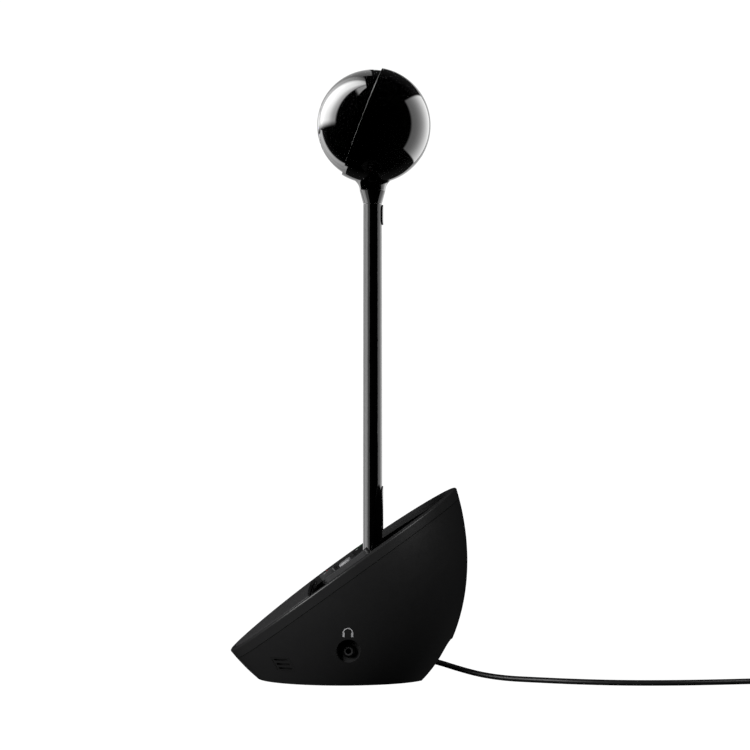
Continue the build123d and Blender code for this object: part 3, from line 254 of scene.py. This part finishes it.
MATERIALS = {
    "base": plastic("satin_base", grey(0.020), grey(0.024), (0.40, 0.46), 2600, 0.00003),
    "bezel": plastic("satin_bezel", grey(0.026), grey(0.031), (0.34, 0.40), 2600, 0.00002),
    "gloss": plastic("gloss_black", grey(0.0022), grey(0.0028), (0.015, 0.03), 60, 0.000002),
    "panel": plastic("gloss_panel", grey(0.0018), grey(0.0024), (0.02, 0.035), 60, 0.000002),
    "grille": plastic("grille_paint", grey(0.06), grey(0.07), (0.38, 0.45), 4000, 0.00001),
    "key": plastic("satin_key", grey(0.07), grey(0.085), (0.24, 0.30), 3500, 0.00001),
    "dark_key": plastic("dark_key", grey(0.016), grey(0.02), (0.22, 0.28), 3500, 0.00001),
    "pale": plastic("pale_pad", grey(0.42), grey(0.48), (0.25, 0.3), 3000, 0.00001),
    "rubber": plastic("black_rubber", grey(0.014), grey(0.018), (0.55, 0.65), 1800, 0.00004),
    "jacket": plastic("cord_jacket", grey(0.010), grey(0.013), (0.34, 0.42), 2400, 0.00002),
    "inner": plastic("inner_moulding", grey(0.03), grey(0.036), (0.45, 0.55), 1500, 0.00003),
    "board": plastic("circuit_board", (0.008, 0.07, 0.03), (0.012, 0.09, 0.04), (0.3, 0.4), 900, 0.00003),
    "steel": plastic("bright_steel", grey(0.50), grey(0.56), (0.22, 0.32), 2200, 0.00001, metallic=1.0),
    "white_print": plastic("white_print", grey(0.72), grey(0.76), (0.45, 0.5), 2000, 0.000005),
    "red_print": plastic("red_print", (0.55, 0.03, 0.02), (0.62, 0.04, 0.025), (0.4, 0.45), 2000, 0.000005),
    "dark_print": plastic("dark_print", grey(0.02), grey(0.03), (0.45, 0.5), 2000, 0.000005),
    "green_print": plastic("green_print", (0.02, 0.35, 0.08), (0.03, 0.4, 0.1), (0.4, 0.45), 2000, 0.000005),
    "led": plastic("light_ring", grey(0.05), grey(0.06), (0.15, 0.2), 2000, 0.000005),
}


def lens_glass():
    """Dark coated glass."""
    material = plastic("lens_glass", (0.004, 0.004, 0.008), (0.006, 0.005, 0.012), (0.01, 0.02), 40, 0.000001)
    bsdf = shader(material)
    bsdf.inputs["Coat Weight"].default_value = 1.0
    bsdf.inputs["Coat Roughness"].default_value = 0.01
    return material


MATERIALS["glass"] = lens_glass()

SLOT_LOOKS = {
    "base_plastic": "base", "bezel_plastic": "bezel", "black_gloss": "gloss", "grille_metal": "grille",
    "key_plastic": "key", "dark_key_plastic": "dark_key", "pale_pad": "pale", "inner_plastic": "inner",
    "rubber": "rubber", "cord_jacket": "jacket", "circuit_board": "board", "steel": "steel",
    "lens_glass": "glass", "led_diffuser": "led",
}


def dress(piece, look):
    piece.data.materials.clear()
    piece.data.materials.append(MATERIALS[look])


for part in frame["record"]["subparts"]:
    dress(nodes[part["node"]], SLOT_LOOKS[part["material_slot"]])
dress(nodes["control_panel"], "panel")
dress(cord, "jacket")


# ================================================================ detail pieces
def add_piece(name, mesh, body, look, smooth=True):
    """Make an object of a mesh and say which body it rides and which slot it takes its finish from."""
    piece = bpy.data.objects.new(name, mesh)
    scene.collection.objects.link(piece)
    mesh.materials.append(MATERIALS[look])
    for face in mesh.polygons:
        face.use_smooth = smooth
    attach(piece, body)
    return piece


def mesh_of(name, points, faces):
    mesh = bpy.data.meshes.new(name)
    mesh.from_pydata([tuple(point) for point in points], [], faces)
    mesh.validate()
    return mesh


# Grille: millimetres on the tilted face.
CREST = (72.4, 82.7)    # the face's half width and half height
GRILLE_GAP = 0.2
GRILLE_TOP = 0.2
LINE_U = -24.6         # where the grille meets the panel, at the middle
LINE_RADIUS = 1362.7
OUTLINE_STEPS = 150
CORNER_ROUNDS = 40     # to settle the outline's two corners
BAND = 1.5             # the plain border
PITCH = 1.3
HOLE = 0.44            # a hole's radius
HOLE_DEPTH = 0.55
CLOTH_TOP = -0.5
CLOTH_INSET = 0.6
CLOTH_MIDDLE = -50.0
# How far the turned-down edge is drawn in, and its height, from the bottom up.
SKIRT = ((0.0, -1.9), (0.0, -0.12), (0.10, 0.09), (0.32, 0.2))


def line_at(x, gap):
    """The bowed line between the grille and the panel."""
    return LINE_U - gap + LINE_RADIUS - math.sqrt(LINE_RADIUS ** 2 - x * x)


def in_grille(x, u, gap):
    across = (x / (CREST[0] - gap)) ** 2 + (u / (CREST[1] - gap)) ** 2
    return across < 1 and u < line_at(x, gap)


def grille_outline(gap):
    """The outline, drawn in by a gap: along the ellipse and back along the bowed line."""
    half_x, half_u = CREST[0] - gap, CREST[1] - gap
    corner = half_x
    for _ in range(CORNER_ROUNDS):
        corner = half_x * math.sqrt(1 - (line_at(corner, gap) / half_u) ** 2)
    turn = math.atan2(line_at(corner, gap) / half_u, corner / half_x)
    points = []
    for i in range(OUTLINE_STEPS):
        angle = turn - (math.pi + 2 * turn) * i / OUTLINE_STEPS
        points.append((half_x * math.cos(angle), half_u * math.sin(angle)))
    for i in range(OUTLINE_STEPS):
        x = -corner + 2 * corner * i / OUTLINE_STEPS
        points.append((x, line_at(x, gap)))
    return points


def build_grille():
    """A perforated sheet of hexagonal cells with a plain border and a turned-down edge."""
    mesh = bmesh.new()
    shared = {}

    def point(x, u):
        key = (round(x, 3), round(u, 3))
        if key not in shared:
            shared[key] = mesh.verts.new((x, u, GRILLE_TOP))
        return shared[key]

    corner_reach = PITCH / math.sqrt(3)
    row_step = PITCH * math.sqrt(3) / 2
    angles = [math.radians(30 + 60 * k) for k in range(6)]
    for row in range(int(-CREST[1] / row_step), int(LINE_U / row_step) + 3):
        for column in range(int(-CREST[0] / PITCH) - 1, int(CREST[0] / PITCH) + 2):
            x = (column + 0.5 * (row % 2)) * PITCH
            u = row * row_step
            corners = [(x + corner_reach * math.cos(a), u + corner_reach * math.sin(a)) for a in angles]
            if not all(in_grille(cx, cu, GRILLE_GAP + BAND) for cx, cu in corners):
                continue
            outer = [point(*corner) for corner in corners]
            rim = [mesh.verts.new((x + HOLE * math.cos(a), u + HOLE * math.sin(a), GRILLE_TOP))
                   for a in angles]
            deep = [mesh.verts.new((v.co.x, v.co.y, GRILLE_TOP - HOLE_DEPTH)) for v in rim]
            for i in range(6):
                j = (i + 1) % 6
                mesh.faces.new((outer[i], outer[j], rim[j], rim[i]))
                mesh.faces.new((rim[i], rim[j], deep[j], deep[i]))
    inner_edges = [edge for edge in mesh.edges
                   if len(edge.link_faces) == 1 and all(vert.co.z > 0 for vert in edge.verts)]
    loops = []
    for inset, height in SKIRT:
        loops.append([mesh.verts.new((x, u, height)) for x, u in grille_outline(GRILLE_GAP + inset)])
    for low, high in zip(loops, loops[1:]):
        for i in range(len(low)):
            j = (i + 1) % len(low)
            mesh.faces.new((low[i], high[i], high[j], low[j]))
    top = loops[-1]
    border = [mesh.edges.get((top[i], top[(i + 1) % len(top)])) for i in range(len(top))]
    bmesh.ops.triangle_fill(mesh, use_beauty=True, use_dissolve=False, edges=inner_edges + border)
    bmesh.ops.recalc_face_normals(mesh, faces=mesh.faces)
    if sum(face.normal.z for face in mesh.faces if len(face.verts) == 3) < 0:
        bmesh.ops.reverse_faces(mesh, faces=mesh.faces)
    for vert in mesh.verts:
        vert.co = on_face(vert.co.x, vert.co.y, vert.co.z)
    data = bpy.data.meshes.new("grille_sheet")
    mesh.to_mesh(data)
    mesh.free()
    piece = add_piece("grille_sheet", data, "base", "grille", smooth=False)
    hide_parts("speaker_grille")
    return piece


def build_cloth():
    """The dust cloth just under the grille."""
    outline = [on_face(x, u, CLOTH_TOP) for x, u in grille_outline(GRILLE_GAP + CLOTH_INSET)]
    middle = on_face(0, CLOTH_MIDDLE, CLOTH_TOP)
    count = len(outline)
    faces = [(i, (i + 1) % count, count) for i in range(count)]
    mesh = mesh_of("dust_cloth", outline + [middle], faces)
    return add_piece("dust_cloth", mesh, "base", "rubber")


def fall_on(target, start, direction, lift):
    """Drop a point onto a piece and lift it a little off its surface."""
    inverse = target.matrix_world.inverted()
    hit, place, normal, _ = target.ray_cast(inverse @ start, (inverse.to_3x3() @ direction).normalized())
    if not hit:
        raise ValueError("a mark misses " + target.name)
    place = target.matrix_world @ place
    normal = (target.matrix_world.to_3x3() @ normal).normalized()
    return place + (normal if normal.dot(direction) < 0 else -normal) * lift


MARK_LIFT = 0.04 * MM
DROP_HEIGHT = 8.0      # mm over the face, where a mark's points fall from
DROP_SIDE = 0.12       # m out along X
FULL_CIRCLE = (0, 360)


def strip(corners, steps):
    """A band between two rows of flat points, cut into short pieces."""
    (a, b), (c, d) = corners
    near = [tuple(a[k] + (b[k] - a[k]) * i / steps for k in (0, 1)) for i in range(steps + 1)]
    far = [tuple(c[k] + (d[k] - c[k]) * i / steps for k in (0, 1)) for i in range(steps + 1)]
    return near, far


def bar(x, u, width, height, steps=6):
    """A flat bar round a point."""
    left, right = x - width / 2, x + width / 2
    low, high = u - height / 2, u + height / 2
    return strip((((left, low), (right, low)), ((left, high), (right, high))), steps)


def arc(x, u, inner, outer, start, end, steps=28):
    """A flat arc round a point, in degrees."""
    angles = [math.radians(start + (end - start) * i / steps) for i in range(steps + 1)]
    near = [(x + inner * math.cos(a), u + inner * math.sin(a)) for a in angles]
    far = [(x + outer * math.cos(a), u + outer * math.sin(a)) for a in angles]
    return near, far


def print_marks(name, target, bands, place, direction, body, look):
    """A thin printed mark that lies on a piece's surface."""
    points, faces = [], []
    for near, far in bands:
        base = len(points)
        count = len(near)
        for x, u in list(near) + list(far):
            points.append(fall_on(target, place(x, u), direction, MARK_LIFT))
        for i in range(count - 1):
            faces.append((base + i, base + i + 1, base + count + i + 1, base + count + i))
    return add_piece(name, mesh_of(name, points, faces), body, look)


def above_face(x, u):
    return on_face(x, u, DROP_HEIGHT)


def beside_base(y, z):
    return Vector((DROP_SIDE, y * MM, z * MM))


HEADSET_MARK = (-0.3, 35.5)


def headset_mark():
    """A pair of headphones over the jack."""
    y, z = HEADSET_MARK
    bands = [
        arc(y, z, 2.45, 3.05, 0, 180),
        bar(y - 2.6, z - 1.3, 1.2, 2.7),
        bar(y + 2.6, z - 1.3, 1.2, 2.7),
    ]
    return print_marks("headset_mark", nodes["base_lower_shell"], bands, beside_base, Vector((-1, 0, 0)),
                       "base", "white_print")


# Places across and up the face, in millimetres.
VOLUME_MARKS = (35, 16.5, -5.5)      # X, then the plus and the minus
END_KEY = (-31, -10.0)
ANSWER_KEY = (-31, 15.5)
MUTE_KEY = (0, -11)
PAD_MIDDLE = (-1, 4)
PAD_DOTS = ((7.2, 0), (-7.2, 0), (0, 3.0), (0, -3.0))
# A white dot on the panel by the far end of the volume rocker: a painted highlight, not a lamp.
PAINTED_HIGHLIGHT_DOT = (24, 21.3)


def key_marks():
    """Plain marks on the keys, and a white dot on the panel that is a painted highlight."""
    down = -FACE_OUT
    body_of = {node: body for body, members in bodies.items() for node in members}
    x, plus_u, minus_u = VOLUME_MARKS
    plus = [bar(x, plus_u, 3.2, 0.6), bar(x, plus_u + 1.05, 0.6, 1.3), bar(x, plus_u - 1.05, 0.6, 1.3)]
    pad_x, pad_u = PAD_MIDDLE
    dots = [arc(pad_x + dx, pad_u + du, 0.02, 0.55, *FULL_CIRCLE, steps=12) for dx, du in PAD_DOTS]
    marks = (
        ("louder_mark", "volume_rocker", plus, "dark_print"),
        ("softer_mark", "volume_rocker", [bar(x, minus_u, 3.2, 0.6)], "dark_print"),
        ("end_mark", "end_key", [bar(*END_KEY, 4.6, 1.4)], "red_print"),
        ("answer_mark", "answer_key", [arc(*ANSWER_KEY, 1.3, 2.0, *FULL_CIRCLE)], "green_print"),
        ("mute_mark", "mute_key", [arc(*MUTE_KEY, 1.4, 1.9, *FULL_CIRCLE)], "white_print"),
        ("pad_marks", "four_way_pad", dots, "dark_print"),
        # The white dot is a painted highlight by the far end of the volume rocker.
        ("painted_highlight_dot", "control_panel", [arc(*PAINTED_HIGHLIGHT_DOT, 0.02, 0.6, *FULL_CIRCLE, steps=16)], "white_print"),
    )
    return [print_marks(name, nodes[node], bands, above_face, down, body_of[node], look)
            for name, node, bands, look in marks]


RIM_TILT = math.radians(21.0)
RIM_AXIS = Vector((0, -math.cos(RIM_TILT), math.sin(RIM_TILT)))
RIM_SIDE = Vector((1, 0, 0))
RIM_TOP = RIM_AXIS.cross(RIM_SIDE)
RIM_PLANE = 6.9
BEAD_RADIUS = 35.78
BEAD_THICK = 0.26
BEAD_SINK = 0.3
BEAD_STEPS = 220
BEAD_SIDES = 10
BEAD_START = -62       # degrees
BEAD_SWEEP = 304
BEAD_FADE = 12         # steps over which each end fades
BEAD_THINNEST = 0.05


def rim_bead():
    """The rounded edge of the rear shell's rim, fading out above the neck."""
    up = RIM_TOP if RIM_TOP.z > 0 else -RIM_TOP
    points, faces = [], []
    for i in range(BEAD_STEPS + 1):
        turn = math.radians(BEAD_START + BEAD_SWEEP * i / BEAD_STEPS)
        outward = RIM_SIDE * math.cos(turn) + up * math.sin(turn)
        fade = min(1.0, i / BEAD_FADE, (BEAD_STEPS - i) / BEAD_FADE)
        radius = BEAD_RADIUS - BEAD_SINK * (1 - fade)
        centre = HEAD + (RIM_AXIS * RIM_PLANE + outward * radius) * MM
        for k in range(BEAD_SIDES):
            around = 2 * math.pi * k / BEAD_SIDES
            reach = BEAD_THICK * max(fade, BEAD_THINNEST) * MM
            points.append(centre + (outward * math.cos(around) + RIM_AXIS * math.sin(around)) * reach)
    for i in range(BEAD_STEPS):
        near, far = i * BEAD_SIDES, (i + 1) * BEAD_SIDES
        for k in range(BEAD_SIDES):
            n = (k + 1) % BEAD_SIDES
            faces.append((near + k, near + n, far + n, far + k))
    return add_piece("shell_rim_bead", mesh_of("shell_rim_bead", points, faces), "head", "gloss")


PLUG_SHELL_X = -20.2 * MM


def dress_plug():
    """Steel on the plug's metal shell. Only the faces' looks change, not the mesh."""
    plug = nodes["usb_plug"]
    plug.data.materials.append(MATERIALS["steel"])
    for face in plug.data.polygons:
        if (plug.matrix_world @ face.center).x < PLUG_SHELL_X:
            face.material_index = 1


base_details = [build_grille(), build_cloth(), headset_mark(), *key_marks()]
bead = rim_bead()
dress_plug()


# ================================================================ stage and light
# The head, the pole and the base are each lit apart from the others.
MIRRORED_WORLD = 0.03  # brightness of the world in the object's reflections
PAPER_FROM, PAPER_TO = -0.30, -0.60
WHITE = 1.05           # brightness of the background for the camera
FLOOR_REACH = 4.0


def collect(name, members):
    """A group that a light can be kept to."""
    group = bpy.data.collections.new(name)
    for member in members:
        group.objects.link(member)
    return group


def flat_piece(name, corners):
    mesh = mesh_of(name, corners, [tuple(range(len(corners)))])
    piece = bpy.data.objects.new(name, mesh)
    scene.collection.objects.link(piece)
    return piece


def add_floor():
    """A pale floor that glows evenly and shows no shadow."""
    corners = [(x * FLOOR_REACH, y * FLOOR_REACH, 0) for x, y in ((-1, -1), (1, -1), (1, 1), (-1, 1))]
    floor = flat_piece("floor", corners)
    material = plastic("pale_floor", grey(0.86), grey(0.88), (0.7, 0.8), 300, 0.00001)
    bsdf = shader(material)
    bsdf.inputs["Emission Color"].default_value = (1, 1, 1, 1)
    bsdf.inputs["Emission Strength"].default_value = WHITE
    floor.data.materials.append(material)
    floor.visible_glossy = False
    floor.visible_diffuse = False


def add_world():
    """White all round for the camera. What the object mirrors is nearly black, a little lighter behind it."""
    world = bpy.data.worlds.new("studio")
    scene.world = world
    world.use_nodes = True
    tree = world.node_tree
    tree.nodes.clear()
    output = tree.nodes.new("ShaderNodeOutputWorld")
    place = tree.nodes.new("ShaderNodeTexCoord")
    axes = tree.nodes.new("ShaderNodeSeparateXYZ")
    tree.links.new(place.outputs["Generated"], axes.inputs[0])
    paper = tree.nodes.new("ShaderNodeMapRange")
    paper.interpolation_type = "SMOOTHSTEP"
    paper.inputs["From Min"].default_value = PAPER_FROM
    paper.inputs["From Max"].default_value = PAPER_TO
    paper.inputs["To Max"].default_value = MIRRORED_WORLD
    tree.links.new(axes.outputs["X"], paper.inputs["Value"])
    mirrored = tree.nodes.new("ShaderNodeBackground")
    mirrored.inputs["Color"].default_value = (1, 1, 1, 1)
    tree.links.new(paper.outputs["Result"], mirrored.inputs["Strength"])
    white = tree.nodes.new("ShaderNodeBackground")
    white.inputs["Color"].default_value = (1, 1, 1, 1)
    white.inputs["Strength"].default_value = WHITE
    path = tree.nodes.new("ShaderNodeLightPath")
    mix = tree.nodes.new("ShaderNodeMixShader")
    tree.links.new(path.outputs["Is Camera Ray"], mix.inputs["Fac"])
    tree.links.new(mirrored.outputs[0], mix.inputs[1])
    tree.links.new(white.outputs[0], mix.inputs[2])
    tree.links.new(mix.outputs[0], output.inputs["Surface"])


def softbox(name, centre, facing, size, radiance, group):
    """A rectangular light of a given brightness, kept to a group of pieces."""
    data = bpy.data.lights.new(name, "AREA")
    data.shape = "RECTANGLE"
    data.size, data.size_y = size
    data.energy = radiance * math.pi * size[0] * size[1]
    light = bpy.data.objects.new(name, data)
    light.location = centre
    light.rotation_euler = (Vector(facing) - Vector(centre)).to_track_quat("-Z", "Y").to_euler()
    scene.collection.objects.link(light)
    light.visible_camera = False
    light.light_linking.receiver_collection = group


def card(name, facing, distance, span, z_span, stops, stops_z, radiance, group):
    """A glowing card, upright at a distance along X or Y, brighter and darker along its length and height."""
    (a0, a1), (z0, z1) = span, z_span
    corners = ((a0, z0), (a1, z0), (a1, z1), (a0, z1))
    if facing == "Y":
        piece = flat_piece(name, [(a, distance, z) for a, z in corners])
    else:
        piece = flat_piece(name, [(distance, a, z) for a, z in corners])
    along = "X" if facing == "Y" else "Y"
    material = bpy.data.materials.new(name)
    material.use_nodes = True
    tree = material.node_tree
    tree.nodes.clear()
    place = tree.nodes.new("ShaderNodeTexCoord")
    axes = tree.nodes.new("ShaderNodeSeparateXYZ")
    tree.links.new(place.outputs["Object"], axes.inputs[0])
    product = tree.nodes.new("ShaderNodeMath")
    product.operation = "MULTIPLY"
    for index, (axis, reach, levels) in enumerate(((along, span, stops), ("Z", z_span, stops_z))):
        share = tree.nodes.new("ShaderNodeMapRange")
        share.inputs["From Min"].default_value, share.inputs["From Max"].default_value = reach
        tree.links.new(axes.outputs[axis], share.inputs["Value"])
        ramp = tree.nodes.new("ShaderNodeValToRGB")
        ramp.color_ramp.interpolation = "EASE"
        elements = ramp.color_ramp.elements
        for position, _ in levels[1:-1]:
            elements.new(position)
        for element, (position, value) in zip(elements, levels):
            element.position = position
            element.color = (value, value, value, 1)
        tree.links.new(share.outputs["Result"], ramp.inputs["Fac"])
        tree.links.new(ramp.outputs["Color"], product.inputs[index])
    glow = tree.nodes.new("ShaderNodeEmission")
    scaled = tree.nodes.new("ShaderNodeMath")
    scaled.operation = "MULTIPLY"
    scaled.inputs[1].default_value = radiance
    tree.links.new(product.outputs[0], scaled.inputs[0])
    tree.links.new(scaled.outputs[0], glow.inputs["Strength"])
    output = tree.nodes.new("ShaderNodeOutputMaterial")
    tree.links.new(glow.outputs[0], output.inputs["Surface"])
    piece.data.materials.append(material)
    material.cycles.emission_sampling = "NONE"
    piece.visible_camera = False
    piece.visible_shadow = False
    piece.visible_transmission = False
    piece.light_linking.receiver_collection = group


HEAD_BODIES = ("head", "ball")
POLE_BODIES = ("stand", "neck", "stand_release_button", "neck_release_button")


def light_groups():
    """The pieces of the head, of the pole and of the base, each in a group of its own."""
    riding = {"head": [], "pole": [], "base": [cord]}
    for body, members in bodies.items():
        kind = "head" if body in HEAD_BODIES else "pole" if body in POLE_BODIES else "base"
        riding[kind] += [nodes[node] for node in members]
    riding["head"].append(bead)
    riding["base"] += base_details
    return {kind: collect(kind + "_pieces", members) for kind, members in riding.items()}


# Cards stand round the head, in metres. Levels are (share of the way along, brightness).
SIDE = 0.8
BACK = -2.4
RIGHT_BACK = -1.5
GAP = 0.02             # between cards that would share an edge
FRONT = 0.16           # where the side cards end, towards the photo's camera
TOP = HEAD.z
LEFT_HIGH = TOP + 5.0
LEFT_LOW = TOP - 1.3
RIGHT_REACH = 0.62     # above and below the head
FLAT = ((0.0, 1.0), (1.0, 1.0))


def add_head_cards(group):
    """What the ball mirrors: bright cards on the left, weaker ones behind and on the right."""
    card("head_left", "Y", -SIDE, (BACK, FRONT), (TOP - GAP, LEFT_HIGH),
         ((0.0, 0.07), (0.45, 0.18), (0.70, 0.9), (0.84, 1.0), (0.96, 0.5), (1.0, 0.0)),
         ((0.0, 0.0), (0.03, 0.8), (0.12, 1.0), (1.0, 0.6)), 13.0, group)
    card("head_high_left", "Y", -SIDE, (FRONT, 0.75), (TOP + 1.5, LEFT_HIGH), FLAT,
         ((0.0, 0.0), (0.15, 1.0), (1.0, 1.0)), 4.5, group)
    card("head_low_left", "Y", -SIDE, (BACK, -0.62), (LEFT_LOW, TOP - GAP),
         ((0.0, 0.25), (0.6, 0.5), (0.93, 1.0), (1.0, 0.0)), FLAT, 3.0, group)
    card("head_back_left", "X", BACK, (-SIDE, -GAP), (LEFT_LOW, TOP + 4.0), FLAT, FLAT, 0.7, group)
    right_z = (TOP - RIGHT_REACH, TOP + RIGHT_REACH)
    card("head_right", "Y", SIDE, (RIGHT_BACK, FRONT), right_z,
         ((0.0, 0.8), (0.5, 1.0), (0.94, 0.45), (1.0, 0.0)), ((0.0, 0.0), (0.04, 0.9), (0.95, 1.0), (1.0, 0.0)),
         4.2, group)
    card("head_back_right", "X", RIGHT_BACK, (GAP, SIDE), right_z, FLAT, FLAT, 0.9, group)


POLE_LIGHT_Y = 0.7
POLE_LIGHT_Z = 0.4
POLE_LIGHT_HEIGHT = 1.2
POLE_BACK_WIDTH = 0.7
# Name, side, X of the middle, width, brightness.
POLE_SIDE_LIGHTS = (
    ("pole_left_near", -1, 0.385, 0.47, 1.2),
    ("pole_left_mid", -1, -0.10, 0.50, 4.0),
    ("pole_left_far", -1, -0.975, 1.25, 1.6),
    ("pole_right_near", 1, -0.10, 0.40, 1.6),
    ("pole_right_far", 1, -0.95, 1.30, 2.0),
)
# Name, place along X and Y, brightness.
POLE_BACK_LIGHTS = (
    ("pole_back_left", -1.5, -0.35, 0.5),
    ("pole_back_right", -1.4, 0.35, 1.0),
)


def add_pole_lights(group):
    """Tall lights at both sides and behind, which the pole mirrors as upright bands."""
    for name, side, x, width, radiance in POLE_SIDE_LIGHTS:
        centre = (x, side * POLE_LIGHT_Y, POLE_LIGHT_Z)
        softbox(name, centre, (x, 0, POLE_LIGHT_Z), (width, POLE_LIGHT_HEIGHT), radiance, group)
    for name, x, y, radiance in POLE_BACK_LIGHTS:
        size = (POLE_BACK_WIDTH, POLE_LIGHT_HEIGHT)
        softbox(name, (x, y, POLE_LIGHT_Z), (0, y, POLE_LIGHT_Z), size, radiance, group)


def add_base_lights(group):
    """One light at each side of the base, towards the photo's camera."""
    softbox("base_left", (1.0, -1.3, 0.55), (0, 0, 0.05), (0.9, 0.9), 10.0, group)
    softbox("base_right", (0.7, 1.2, 0.9), (0, 0, 0.08), (0.7, 0.7), 5.0, group)


add_floor()
add_world()
groups = light_groups()
add_head_cards(groups["head"])
add_pole_lights(groups["pole"])
add_base_lights(groups["base"])
scene.view_settings.view_transform = "Standard"
